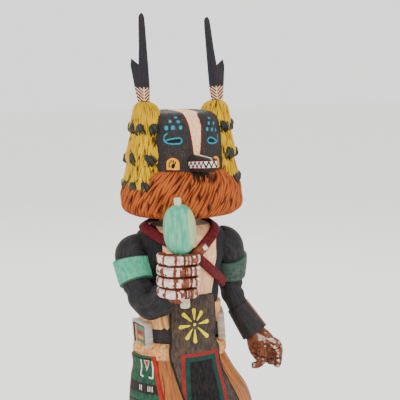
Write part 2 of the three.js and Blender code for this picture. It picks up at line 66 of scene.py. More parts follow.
# Rows of a table whose first column rises, read at heights
def rowsAtHeights(rows, heights):
    first = np.array(rows, float)[:, 0]
    low = np.clip(np.searchsorted(first, heights, side="right") - 1, 0, len(first) - 2)
    share = (heights - first[low]) / (first[low + 1] - first[low])
    return rowsAt(rows, low + np.clip(share, 0, 1))


# Distance walked along a path: the sum of its steps' lengths
def walked(path):
    return np.append(0, np.cumsum(np.linalg.norm(np.diff(path, axis=0), axis=1)))


# Places along a table that lie evenly in mm along the path of the given columns
def evenPlaces(rows, count, columns, samples=1500):
    fine = np.linspace(0, len(rows) - 1, samples)
    length = walked(rowsAt(rows, fine)[:, columns])
    return np.interp(np.linspace(0, length[-1], count), length, fine)


def unit(vectors):
    return vectors / np.linalg.norm(vectors, axis=-1, keepdims=True)


# Points or vectors from their three coordinates, spread over the same grid
def spread(x, y, z):
    return np.stack(np.broadcast_arrays(x, y, z), -1)


# A full circle of angles, as one row
def circle(count, start=0):
    return np.linspace(start, start + tau, count, endpoint=False)[None, :]


# A pair turned by an angle: x cos - y sin and x sin + y cos
def turned(x, y, angle):
    c, s = math.cos(angle), math.sin(angle)
    return x * c - y * s, x * s + y * c


# 0 below low, 1 above high, smooth between
def ease(low, high, value):
    t = np.clip((value - low) / (high - low), 0, 1)
    return t * t * (3 - 2 * t)


# Signed power: the sign of value times its size to that power
def power(value, exponent):
    return np.sign(value) * np.abs(value) ** exponent


# Superellipse: half-axes times cosine and sine of the angle, each to the signed power 2/square
def superellipse(angle, a, b, square):
    return a * power(np.cos(angle), 2 / square), b * power(np.sin(angle), 2 / square)


# Quarter round along an edge: how far the surface has sunk at a distance from it, as a share of depth
def rounding(distance, depth):
    inward = np.clip(distance / depth, 0, 1)
    return 1 - np.sqrt(1 - (1 - inward) ** 2)


# Upright loft over rows of height, half-width, half-depth and the middle's x and y: at each height a
# superellipse whose half-axes both grow by relief(turn, height). Gives points, turns and heights.
def upright(rows, around, count, square=2, relief=None, crowd=0):
    rows = [list(row) + [0] * (5 - len(row)) for row in rows]
    table = rowsAt(rows, evenPlaces(rows, count, [0, 1]))
    z, a, b, x, y = table.T[:, :, None]
    turn = circle(around, -math.pi) + 0 * z
    turn = turn - crowd * np.sin(turn)    # crowds the columns toward the front and back
    z = z + 0 * turn
    swell = relief(turn, z) if relief else 0
    dx, dy = superellipse(turn - math.pi / 2, a + swell, b + swell, square)
    return spread(x + dx, y + dy, z), turn, z


# Limb: at each point of a path a superellipse across the path, carried along without twisting, its
# half-axes grown by relief(angle, distance). Gives points, angles and distances along the path.
def limb(rows, around, count, square=2, relief=None):
    table = rowsAt(rows, evenPlaces(rows, count, [0, 1, 2]))
    path = table[:, :3]
    along = unit(np.gradient(path, axis=0))
    side = np.cross([0, 0, 1], along[0])
    if np.linalg.norm(side) < 0.2:    # the limb starts nearly upright
        side = np.array([1, 0, 0]) - along[0] * along[0][0]
    across = []
    for direction in along:
        side = unit(side - direction * (side @ direction))
        across.append(side)
    across = np.array(across)
    up = np.cross(along, across)
    angle = circle(around) + np.zeros((count, 1))
    distance = walked(path)[:, None] + 0 * angle
    swell = relief(angle, distance) if relief else 0
    u, v = superellipse(angle, table[:, 3:4] + swell, table[:, 4:5] + swell, square)
    return path[:, None] + across[:, None] * u[..., None] + up[:, None] * v[..., None], angle, distance


# Rounded lump: a sphere's rings, scaled by the half-sizes and pushed by relief(angle, rise)
def lump(middle, sizes, around=28, count=20, relief=None):
    pole = math.pi / 2 - 0.02
    rise = np.linspace(-pole, pole, count)[:, None]
    angle = circle(around, -math.pi) + 0 * rise
    swell = 1 + (relief(angle, rise + 0 * angle) if relief else 0)
    ball = spread(np.cos(rise) * np.cos(angle), np.cos(rise) * np.sin(angle), np.sin(rise))
    return np.array(middle) + ball * np.array(sizes) * np.broadcast_to(swell, angle.shape)[..., None]


# Box with round corners: the corner's radius less the distance to the box that the radius leaves
def boxField(x, y, halfWidth, halfHeight, corner):
    qx, qy = np.abs(x) - halfWidth + corner, np.abs(y) - halfHeight + corner
    return corner - np.hypot(np.maximum(qx, 0), np.maximum(qy, 0)) - np.minimum(np.maximum(qx, qy), 0)


# Leaning oval: 1 less the distance in half-sizes, in mm of the smaller one
def discField(x, y, a, b, lean=0):
    u, v = turned(x, y, -lean)
    return (1 - np.hypot(u / a, v / b)) * min(a, b)


# Stroke along points: half its width less the distance to the nearest of its straight pieces
def strokeField(x, y, points, width):
    nearest = np.full(np.shape(x), 1e9)
    for (x0, y0), (x1, y1) in zip(points, points[1:]):
        dx, dy = x1 - x0, y1 - y0
        share = np.clip(((x - x0) * dx + (y - y0) * dy) / (dx * dx + dy * dy), 0, 1)
        nearest = np.minimum(nearest, np.hypot(x - x0 - share * dx, y - y0 - share * dy))
    return width / 2 - nearest


# Round daub in space: its radius less the distance to the straight way from start to end
def daubField(grid, start, end, radius):
    start, end = np.array(start, float), np.array(end, float)
    way = end - start
    share = np.clip(((grid - start) @ way) / (way @ way), 0, 1)
    return radius - np.linalg.norm(grid - start - share[..., None] * way, axis=-1)


def union(*fields):
    return np.maximum.reduce(np.broadcast_arrays(*fields))


def overlap(*fields):
    return np.minimum.reduce(np.broadcast_arrays(*fields))


# Carved strands: V-cuts where count * turn / full circle, shifted by slow waves, is a whole number,
# each cut fading in and out along its length by a sine of its own
def strands(turn, along, count, seed, wander=0.5, width=0.34, dash=0.35, floor=0.1):
    wave = np.sin(7 * turn + along * 0.13 + seed) + 0.6 * np.sin(17 * turn - along * 0.21 + seed * 2)
    place = count * turn / tau + wander * wave
    nearest = np.round(place)
    index = nearest % count
    fade = np.sin(index * 12.9898 + along * dash + 4 * np.sin(index * 7.3 + seed))
    depth = np.clip(1 - np.abs(place - nearest) / width, 0, 1) ** 0.8
    return depth * np.clip(0.55 + 0.65 * fade, floor, 1)


# Coordinates that follow the carving and have no seam: radius times cosine and sine, and the distance
def flowOf(angle, distance, radius):
    return spread(radius * np.cos(angle), radius * np.sin(angle), distance)


# A grid of points in closed rings, with fields of the same shape
class Form:
    def __init__(self, grid, **fields):
        self.grid = grid
        self.fields = fields


# One mesh from several forms: quads between rings, a fan at each end, and all faces turned outward by
# the sign of the volume inside
def addPiece(name, forms, material, slot, *nodes):
    points, faces, start = [], [], 0
    names = sorted({key for form in forms for key in form.fields})
    values = {key: [] for key in names}
    for form in forms:
        rows, around = form.grid.shape[:2]
        ring, column = np.arange(rows - 1)[:, None] * around, np.arange(around)[None, :]
        beside = (column + 1) % around
        quads = np.stack([ring + column, ring + beside, ring + beside + around, ring + column + around], -1)
        quads = quads.reshape(-1, 4)
        hub, spin, following = rows * around, column[0], beside[0]
        lowFan = np.stack([np.full(around, hub), following, spin], -1)
        highFan = np.stack([np.full(around, hub + 1), spin + hub - around, following + hub - around], -1)
        flat = form.grid.reshape(-1, 3)
        corners = flat[quads]
        volume = np.einsum("ij,ij->", corners[:, 0], np.cross(corners[:, 1], corners[:, 2]))
        volume += np.einsum("ij,ij->", corners[:, 0], np.cross(corners[:, 2], corners[:, 3]))
        order = slice(None, None, 1 if volume > 0 else -1)
        for group in (quads, lowFan, highFan):
            faces += (group[:, order] + start).tolist()
        points.append(np.vstack([flat, form.grid[0].mean(0), form.grid[-1].mean(0)]))
        for key in names:
            wide = 3 if key == "flow" else 1
            given = np.asarray(form.fields.get(key, unpainted), float)
            given = np.broadcast_to(given if wide == 3 else given[..., None], (rows, around, wide))
            values[key].append(np.vstack([given.reshape(-1, wide), given[0].mean(0), given[-1].mean(0)]))
        start += len(flat) + 2
    points = (np.vstack(points) + [0, 0, soleHeight]) * mm
    mesh = bpy.data.meshes.new(name)
    mesh.from_pydata(points.tolist(), [], faces)
    for key in names:
        kind, channel = ("FLOAT_VECTOR", "vector") if key == "flow" else ("FLOAT", "value")
        data = np.vstack(values[key]).astype(np.float32).ravel()
        mesh.attributes.new(key, kind, "POINT").data.foreach_set(channel, data)
    mesh.polygons.foreach_set("use_smooth", np.ones(len(faces), bool))
    mesh.set_sharp_from_angle(angle=math.radians(sharpAngle))
    mesh.materials.append(material)
    thing = bpy.data.objects.new(name, mesh)
    bpy.context.scene.collection.objects.link(thing)
    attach(thing, "root")
    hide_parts(*nodes)
    print(f"{name}: {len(faces)} faces")


# A socket with arithmetic: each operator adds a Math node
class Value:
    def __init__(self, shader, socket):
        self.shader, self.socket = shader, socket

    def __add__(self, other):
        return self.shader.math("ADD", self, other)

    def __sub__(self, other):
        return self.shader.math("SUBTRACT", self, other)

    def __rsub__(self, other):
        return self.shader.math("SUBTRACT", other, self)

    def __mul__(self, other):
        return self.shader.math("MULTIPLY", self, other)

    __radd__, __rmul__ = __add__, __mul__


class Shader:
    def __init__(self, name, **constants):
        self.material = bpy.data.materials.new(name)
        self.material.use_nodes = True
        self.tree = self.material.node_tree
        self.surface = self.tree.nodes["Principled BSDF"]
        for key, value in constants.items():
            self.surface.inputs[key].default_value = value

    # A node: its settings first, then a value or a link for each socket, named or numbered as n0
    def node(self, kind, settings=None, output=0, **inputs):
        made = self.tree.nodes.new(kind)
        for key, value in (settings or {}).items():
            setattr(made, key, value)
        for key, value in inputs.items():
            socket = made.inputs[int(key[1:]) if key[1:].isdigit() else key.replace("_", " ")]
            if isinstance(value, Value):
                self.tree.links.new(value.socket, socket)
            else:
                socket.default_value = value
        return Value(self, made.outputs[output])

    def math(self, operation, first, second):
        return self.node("ShaderNodeMath", {"operation": operation}, n0=first, n1=second)

    def field(self, name):
        return self.node("ShaderNodeAttribute", {"attribute_name": name}, "Fac")

    def flow(self, stretch=(1, 1, 1), shift=(0, 0, 0)):
        vector = self.node("ShaderNodeAttribute", {"attribute_name": "flow"}, "Vector")
        return self.node("ShaderNodeMapping", Vector=vector, Scale=stretch, Location=shift)

    # Object coordinates in mm
    def place(self, stretch=(1, 1, 1)):
        vector = self.node("ShaderNodeTexCoord", output="Object")
        return self.node("ShaderNodeMapping", Vector=vector, Scale=[1000 * k for k in stretch])

    def noise(self, vector, size, detail=3, roughness=0.55):
        return self.node("ShaderNodeTexNoise", Vector=vector, Scale=1 / size, Detail=detail,
                         Roughness=roughness)

    def range(self, value, low, high, start=0, end=1):
        return self.node("ShaderNodeMapRange", {"interpolation_type": "SMOOTHSTEP"}, Value=value,
                         From_Min=low, From_Max=high, To_Min=start, To_Max=end)

    def mix(self, factor, first, second):
        return self.node("ShaderNodeMix", {"data_type": "RGBA"}, 2, n0=factor, n6=first, n7=second)

    def bump(self, height, distance, strength=1):
        return self.node("ShaderNodeBump", Height=height, Distance=distance * mm, Strength=strength)

    def finish(self, color, roughness, normal):
        for key, value in (("Base Color", color), ("Roughness", roughness), ("Normal", normal)):
            self.tree.links.new(value.socket, self.surface.inputs[key])
        return self.material


# Colour from its usual six-digit code, made linear
def paint(code):
    parts = [int(code[k:k + 2], 16) / 255 for k in (1, 3, 5)]
    return [p / 12.92 if p < 0.04045 else ((p + 0.055) / 1.055) ** 2.4 for p in parts] + [1]


# What a look may set besides its paints: sizes in mm, amounts and shares from 0 to 1
woodLook = {
    "gloss": 0.12, "rough": 0.62, "bump": 0.35, "stretch": 0.15, "streakSize": 1.6, "cloudSize": 9,
    "cutRange": (0.3, 0.85), "crestHighlightShare": 0.6, "rubSize": 1.1, "rubAmount": 0.5, "rubShare": 0.8,
}


# Hand-painted wood. The ground goes between two tones by streaks that follow the carving; the look's cut
# colour is painted shade in the carved grooves, and a dark seam on the moccasins; the crests between cuts get
# a painted highlight; wood is rubbed through in small patches; each layer, a field with its pair of paints
# and how much its edge wobbles, covers where the field waved by noise is above zero.
def painted(name, look, layers=()):
    look = {**woodLook, **look}
    shader = Shader(name, **{"Specular IOR Level": look["gloss"]})
    stretch = look["stretch"]
    streak = shader.noise(shader.flow((1, 1, stretch)), look["streakSize"], 4, 0.6)
    cloud = shader.noise(shader.place(), look["cloudSize"], 3)
    speck = shader.noise(shader.place(), 0.55, 3, 0.65)
    tones = shader.range(streak * 0.75 + cloud * 0.25, 0.38, 0.62)
    color = shader.mix(tones, paint(look["ground"]), paint(look["tone"]))
    height = streak * 0.5 + speck * 0.35
    # Painted shade in the carved grooves, in the cut colour; on the moccasins the same colour draws the sole
    # seam
    if "cut" in look:
        depth = shader.range(shader.field("cut") + (speck - 0.5) * 0.35, *look["cutRange"])
        color = shader.mix(depth, color, paint(look["cut"]))
    # Painted highlight: the crests between the cuts are painted lighter
    if "crestHighlight" in look:
        crestHighlight = shader.range(shader.field("cut") + (streak - 0.5) * 0.6, 0.22, 0.02)
        color = shader.mix(crestHighlight * look["crestHighlightShare"], color, paint(look["crestHighlight"]))
    if "rub" in look:
        patch = shader.noise(shader.flow((1, 1, stretch * 1.6), (30, 7, 3)), look["rubSize"], 5, 0.7)
        amount = look["rubAmount"]
        worn = shader.range(patch * 0.7 + cloud * 0.3, 0.64 - 0.12 * amount, 0.74 - 0.1 * amount)
        color = shader.mix(worn * look["rubShare"], color, paint(look["rub"]))
        height = height - worn * 0.4
    wave = (shader.noise(shader.place(), 1.7, 3) - 0.5) * 0.55 + (speck - 0.5) * 0.2
    for field, shades, wobble in layers:
        ground, tone = (paint(code) for code in look[shades])
        cover = shader.range(shader.field(field) + wave * wobble, -0.09, 0.09)
        brushed = shader.mix(shader.range(streak * 0.6 + speck * 0.4, 0.42, 0.6), ground, tone)
        color = shader.mix(cover, color, brushed)
        height = height + cover * 0.25
    rough = look["rough"]
    roughness = shader.range(cloud * 0.5 + speck * 0.5, 0.3, 0.7, rough - 0.08, rough + 0.1)
    return shader.finish(color, roughness, shader.bump(height, look["bump"]))


# Mask: an upright near-cylinder with a rounded rim and a slightly domed top. Each eye is its outline and
# the slot inside it, each dot its place, height and half-sizes, in mm round the mask and heights.
mask = {
    "rows": [
        [244, 26.3, 26.3], [256, 25.9, 25.9], [268, 25, 25], [277, 23.9, 23.9], [282, 22.7, 22.7],
        [285, 20.4, 20.4], [286.6, 16.5, 16.5], [287, 10, 10], [287.1, 5, 5], [287.1, 0.4, 0.4],
    ],
    "topRadius": 17, "topLevel": 289,
    # Stripe: level, which is the height and goes on rising across the top, and x of both edges
    "stripe": [
        [262, -1.5, 1.9], [270.4, -2.4, 3], [279.3, -3.7, 3.5], [285, -5.2, 2.4], [286.8, -5.5, 3.4],
        [289, -5.3, 5],
    ],
    "eyes": [
        ([(-17.3, 274.8), (-18.9, 273.5), (-19.5, 271.6), (-18.8, 270), (-16.9, 269.2), (-13.6, 268.9),
          (-9.7, 269.2), (-8.6, 270.3), (-8.7, 271.9), (-9.8, 272.5), (-12.8, 272.2), (-17.2, 271.2),
          (-18.5, 270.7)], [(-10.4, 271), (-13, 270.7), (-16.2, 270.2)]),
        ([(17.6, 273.2), (17.8, 271.8), (17.2, 269.8), (15.5, 268.9), (11.6, 268.5), (8.6, 269.2),
          (7.8, 270.6), (8.8, 271.9), (10.9, 272.2), (13.7, 271.1), (15.6, 269.9)],
         [(9.6, 270.5), (11.2, 270.3), (13, 269.8)]),
    ],
    "dots": [
        (-17.5, 278.1, 1.35, 1.5), (-13.3, 278.4, 1.4, 1.45), (-8.9, 278.5, 1.15, 1.4),
        (-14.8, 281.9, 1.05, 1.1), (-10, 281.9, 1.2, 1.1), (-11, 284.2, 1.15, 0.8), (8.1, 277.2, 1, 1.4),
        (12.1, 276.6, 1.1, 1.4), (15.8, 276.2, 0.9, 1.3), (9.8, 280.6, 1, 1.2), (14.2, 280.2, 1, 1.2),
        (10.9, 283.4, 1.2, 0.9),
    ],
    "archPlace": (14.3, 253.8),
    "fingers": [[(2, 4.3), (2.3, 3), (2.1, 1.6)], [(0.9, 5.6), (1.2, 4.5)], [(-0.4, 5.5), (-0.3, 4.4)],
                [(-1.7, 4.8), (-1.4, 3.7)]],
    "look": {
        "ground": "#222224", "tone": "#2f2c2b", "rub": "#7a5030", "rubAmount": 0.8, "rubShare": 0.6,
        "rough": 0.6, "stretch": 0.5, "streakSize": 1.2, "cream": ("#f1c89b", "#d2a073"),
        "red": ("#64131a", "#4f1719"), "rimRed": ("#64131a", "#4a1a16"), "blue": ("#0a889a", "#0b6a80"),
        "yellow": ("#d79c12", "#c8952a"), "ink": ("#141211", "#141211"),
    },
}


def makeMask():
    grid, turn, z = upright(mask["rows"], 320, 130, crowd=0.5)
    x, y = grid[..., 0], grid[..., 1]
    radius = np.hypot(x, y)
    arc = turn * radius
    # mm climbed along the profile, which goes on over the top
    climb = np.cumsum(np.hypot(np.gradient(radius[:, 0]), np.gradient(z[:, 0])))
    top = mask["topRadius"]
    level = np.where(radius < top, mask["topLevel"] - np.clip(-y, -top, top) / top, z)
    levels, lefts, rights = np.array(mask["stripe"]).T
    left, right = np.interp(level, levels, lefts), np.interp(level, levels, rights)
    stripe = overlap(x - left, right - x, 12 - y, z - levels[0])
    eyes, pupil, dots = unpainted, unpainted, unpainted
    for line, slot in mask["eyes"]:
        eyes = union(eyes, strokeField(arc, z, line, 0.85))
        pupil = union(pupil, strokeField(arc, z, slot, 1.7))
    for place, height, wide, tall in mask["dots"]:
        up = climb[:, None] - np.interp(height, z[:, 0], climb)
        dots = union(dots, boxField(arc - place, up, wide * 0.9, tall * 0.85, 0.8))
    # A yellow arch on each cheek: a disc on a box, and a paw print in it
    across, up = np.abs(arc) - mask["archPlace"][0], z - mask["archPlace"][1]
    arch = union(discField(across, up - 3.4, 3.9, 3.6), boxField(across, up - 1.7, 3.9, 1.7, 0.3))
    arch = overlap(arch, up)
    fingers = [strokeField(across, up, line, 0.72) for line in mask["fingers"]]
    paw = union(discField(across + 0.1, up - 2.3, 1.15, 1.5, 0.4), *fingers)
    material = painted("maskPaint", mask["look"], [
        ("stripeEdge", "red", 1), ("stripe", "cream", 1), ("pupil", "ink", 1), ("eyes", "blue", 0.6),
        ("dots", "blue", 1.3), ("archEdge", "rimRed", 1), ("arch", "yellow", 1), ("paw", "ink", 0.5)])
    form = Form(grid, flow=flowOf(turn, z, 25), stripe=stripe, stripeEdge=stripe + 0.9, eyes=eyes,
                pupil=pupil, dots=dots, arch=arch, archEdge=arch + 0.8, paw=paw)
    addPiece("mask", [form], material, "black_paint", "carved_figure")


# Ruff of carved strands that slant as they go round: relief is main locks less V-cuts
ruff = {
    "rows": [
        [223.5, 24, 19, 0.6], [225.2, 32, 26, 0.6], [228.6, 36.4, 29, 0.6], [235, 37.3, 30, 0.6],
        [243.6, 35.8, 29.4, 0.5], [251.4, 28.6, 27.2, 0.2], [253, 24, 24, 0],
    ],
    "locks": 24, "strands": 104, "gashes": 40, "lean": 0.0144, "leanFrom": 238,
    "look": {
        # Painted shade darkens the V-cuts and a painted highlight lightens the crests between them
        "ground": "#742e0e", "tone": "#8c4016", "cut": "#28120a", "crestHighlight": "#c26a30", "crestHighlightShare": 0.5,
        # ink is the painted shadow under the snout
        "stretch": 0.1, "streakSize": 1.2, "bump": 0.5, "ink": ("#221c19", "#28120a"),
    },
}


def makeRuff():
    def leanedAt(turn, z):
        return turn - ruff["lean"] * (z - ruff["leanFrom"])

    # The deeper of the fine cuts and the gashes
    def cutsAt(leaned, z):
        fine = strands(leaned, z * 1.1, ruff["strands"], 1.3, 0.35, 0.36, 0.35, 0.28)
        gash = strands(leaned, z * 1.1, ruff["gashes"], 4.1, 0.4, 0.2, 0.5)
        return np.maximum(fine * 0.8, gash)

    def relief(turn, z):
        leaned = leanedAt(turn, z)
        lock = np.abs((leaned / tau * ruff["locks"]) % 1 - 0.5) - 0.25
        return lock * 1.3 - 1.1 * cutsAt(leaned, z) + 0.3 * np.sin(z * 0.5 + 9 * leaned) + 0.3

    grid, turn, z = upright(ruff["rows"], 520, 90, relief=relief)
    leaned, x = leanedAt(turn, z), grid[..., 0]
    # A painted shadow that the snout casts on the ruff below it, its lower edge ragged
    ragged = 1.8 * np.sin(x * 1.9 + 1) + 1.5 * np.sin(x * 3.7)
    beard = overlap(5.5 - np.abs(x - 2), z - 248.4 + ragged, -grid[..., 1])
    form = Form(grid, flow=flowOf(leaned, z, 34), cut=cutsAt(leaned, z), beard=beard)
    material = painted("ruffPaint", ruff["look"], [("beard", "ink", 2.5)])
    addPiece("ruff", [form], material, "orange_paint", "carved_figure")


# Trunk with its neck: jacket with a cream front between two edges
jacket = {
    "rows": [
        [138, 24.6, 20, -1.2, 0], [150, 23, 18.6, -1.2, 0], [160, 22.8, 18, -1, 0], [176, 23, 17.2, 0, 0],
        [190, 25, 18, 0, 0], [202, 27.5, 18.6, 0, 0], [210, 28.4, 17.4, 0, 0.5],
        [215, 25.4, 14.6, -0.4, 1], [218, 18.5, 12, 0, 1.2], [220.6, 12, 10.6, 0, 1],
        [225, 9.6, 9.6, 0, 0.5], [231, 9.4, 9.4, 0, 0],
    ],
    "front": [[174, 14.2], [186, 15.9], [200, 17], [216, 17.4]], "neckHeight": 218,
    "look": {
        "ground": "#17181c", "tone": "#232122", "rub": "#6d4c34", "rubAmount": 0.45, "rubShare": 0.6,
        "stretch": 0.35, "streakSize": 1.5, "cream": ("#f1bf92", "#d59e76"), "neck": ("#8b7763", "#756858"),
    },
}


def makeTrunk():
    # Slow folds across the chest: a sine of the height, bent by a sine of twice the turn
    def folds(turn, z):
        return 0.35 * np.sin(z * 0.5 + 3 * np.sin(turn * 2)) * ease(160, 175, z) * ease(216, 208, z)

    grid, turn, z = upright(jacket["rows"], 160, 90, square=2.2, relief=folds, crowd=0.3)
    heights, halves = np.array(jacket["front"]).T
    front = overlap(np.interp(z, heights, halves) - np.abs(grid[..., 0] + 0.3), -grid[..., 1], z - 170,
                    218.6 - z)
    form = Form(grid, flow=flowOf(turn, z, 24), front=front, neck=z - jacket["neckHeight"])
    material = painted("jacketPaint", jacket["look"], [("front", "cream", 1), ("neck", "neck", 1)])
    addPiece("jacket", [form], material, "black_paint", "carved_figure")


# Strap: two flat strips that cross on the chest
strap = {
    "right": [
        [0, 15, 217], [-15, 13.5, 218.5], [-23.5, 2, 218], [-21.5, -11, 214.5], [-12, -17.8, 208.5],
        [2.4, -19.4, 200.5], [13, -17.6, 191.5], [23.4, -11.8, 182.5],
    ],
    "left": [[0, 15, 217], [14, 13, 218], [20.6, 1, 218], [17, -11.5, 214.5], [8.6, -17.6, 207.8],
             [1, -19.2, 200.5]],
    "width": 6.4, "thickness": 2.4, "chestMiddle": [0, 1, 188],
    "look": {"ground": "#4a1015", "tone": "#601c20", "rub": "#351215", "stretch": 0.6},
}


# Strip along a path: across it a rounded oblong whose thickness points away from the chest's middle
def strip(rows, around=24, count=60):
    path = rowsAt(rows, evenPlaces(rows, count, [0, 1, 2]))
    along = unit(np.gradient(path, axis=0))
    outward = path - strap["chestMiddle"]
    outward = unit(outward - along * (outward * along).sum(-1, keepdims=True))
    across = np.cross(along, outward)
    angle = circle(around) + np.zeros((count, 1))
    u, v = superellipse(angle, strap["width"] / 2, strap["thickness"] / 2, 4)
    grid = path[:, None] + across[:, None] * u[..., None] + outward[:, None] * v[..., None]
    return Form(grid, flow=spread(u, v, walked(path)[:, None]))


def makeStrap():
    forms = [strip(strap[side]) for side in sides]
    addPiece("strap", forms, painted("strapPaint", strap["look"]), "red_paint", "carved_figure")


# Arms: a sleeve with folds in mm from its start, and an armband at a place counted in rows; and a
# flared cuff on the left wrist with a worn strip down its outer side
arms = {
    "right": {
        "rows": [
            [-24.5, 2, 207, 8, 7.6], [-31.6, 0.5, 202.6, 11, 9.6], [-32.2, -3, 194, 9.7, 9.4],
            [-31, -9, 183, 8.9, 8.8], [-28.6, -16, 174.6, 9.2, 8.4], [-24.6, -23.5, 175, 9, 8.6],
            [-21.6, -29.5, 180.5, 9, 8.6], [-19.2, -33.5, 186, 8.6, 8.2],
        ],
        "folds": (24, 62), "bandAt": 2.15, "bandPaintedShade": {},
    },
    "left": {
        "rows": [
            [23.5, 1, 208, 8, 8.6], [29.8, 0.5, 204, 10.6, 10.4], [33.4, 2.4, 194.5, 9.4, 9.6],
            [35.4, 6.3, 184, 8.3, 8.4], [36.2, 7, 173.6, 7.2, 7.6], [40.2, 4.6, 162.6, 6.4, 6.8],
            [46.6, 0.6, 149.8, 6, 6.2], [50.4, -2, 142, 5.6, 6],
        ],
        "folds": (20, 44), "bandAt": 2.55,
        # Painted shade: darker paints for the left armband, which lies in shade
        "bandPaintedShade": {"ground": "#2a3f38", "tone": "#44554a", "rub": "#54523a"},
    },
    "bandWidth": 15, "bandRelief": 1.3, "bandRounding": 0.9,
    "cuff": [[39.8, 5, 163, 7.2, 7.2], [44.6, 2.4, 154.6, 8, 8], [49.4, -0.4, 146.2, 8.7, 8.7]],
    "cuffSide": [0.93, -0.37, 0], "cuffStrip": 3.4,
    "sleeveLook": {"ground": "#1c1d21", "tone": "#2c2a29", "rub": "#6e4c36", "rubAmount": 0.65,
                   "rubShare": 0.6, "stretch": 0.3},
    "bandLook": {"ground": "#2c8a72", "tone": "#56a582", "rub": "#8f8450", "rubAmount": 0.6,
                 "rubShare": 0.5, "edge": ("#2c5645", "#3d4a38"), "stretch": 0.6},
    "cuffLook": {"ground": "#212225", "tone": "#2f2b2a", "rub": "#6c4a34", "rubAmount": 0.4,
                 "edge": ("#8a5540", "#6d4529")},
}


# Rows of an armband: the sleeve's own rows for half the band's width to each side of its middle
def bandRows(rows, middle):
    ends = rowsAt(rows, np.array([middle - 0.5, middle + 0.5]))
    half = arms["bandWidth"] / np.linalg.norm(ends[1, :3] - ends[0, :3]) / 2
    return rowsAt(rows, middle + half * np.linspace(-1, 1, 5))


# Relief of an armband: its thickness, falling off in a quarter round at both edges
def bandRelief(angle, distance):
    edge = np.minimum(distance, arms["bandWidth"] - distance)
    return arms["bandRelief"] - arms["bandRounding"] * rounding(edge, arms["bandRounding"])


def makeArms():
    for name in sides:
        arm = arms[name]
        start, end = arm["folds"]

        # Folds: a sine of the distance, bent by the cosine of the angle, between start and end
        def wrinkles(angle, distance):
            share = ease(start - 6, start, distance) * ease(end + 8, end, distance)
            return -0.4 + 0.4 * np.sin(distance * 0.75 + 1.6 * np.cos(angle)) * share

        grid, angle, distance = limb(arm["rows"], 72, 110, relief=wrinkles)
        material = painted(f"{name}SleevePaint", arms["sleeveLook"])
        form = Form(grid, flow=flowOf(angle, distance, 9))
        addPiece(f"{name}Sleeve", [form], material, "black_paint", "carved_figure")
        grid, angle, distance = limb(bandRows(arm["rows"], arm["bandAt"]), 72, 26, relief=bandRelief)
        edge = 0.8 - np.minimum(distance, distance.max() - distance)
        look = {**arms["bandLook"], **arm["bandPaintedShade"]}
        material = painted(f"{name}ArmbandPaint", look, [("edge", "edge", 1.5)])
        form = Form(grid, flow=flowOf(angle, distance, 10), edge=edge)
        addPiece(f"{name}Armband", [form], material, "turquoise_paint", "carved_figure")
    grid, angle, distance = limb(arms["cuff"], 72, 30)
    outward = grid - grid.mean(1, keepdims=True)
    down = np.array(arms["cuff"][-1][:3]) - arms["cuff"][0][:3]
    side = np.array(arms["cuffSide"])
    edge = overlap(arms["cuffStrip"] - np.abs(outward @ unit(np.cross(down, side))), outward @ side)
    form = Form(grid, flow=flowOf(angle, distance, 9), edge=edge)
    material = painted("cuffPaint", arms["cuffLook"], [("edge", "edge", 1.5)])
    addPiece("cuff", [form], material, "black_paint", "carved_figure")


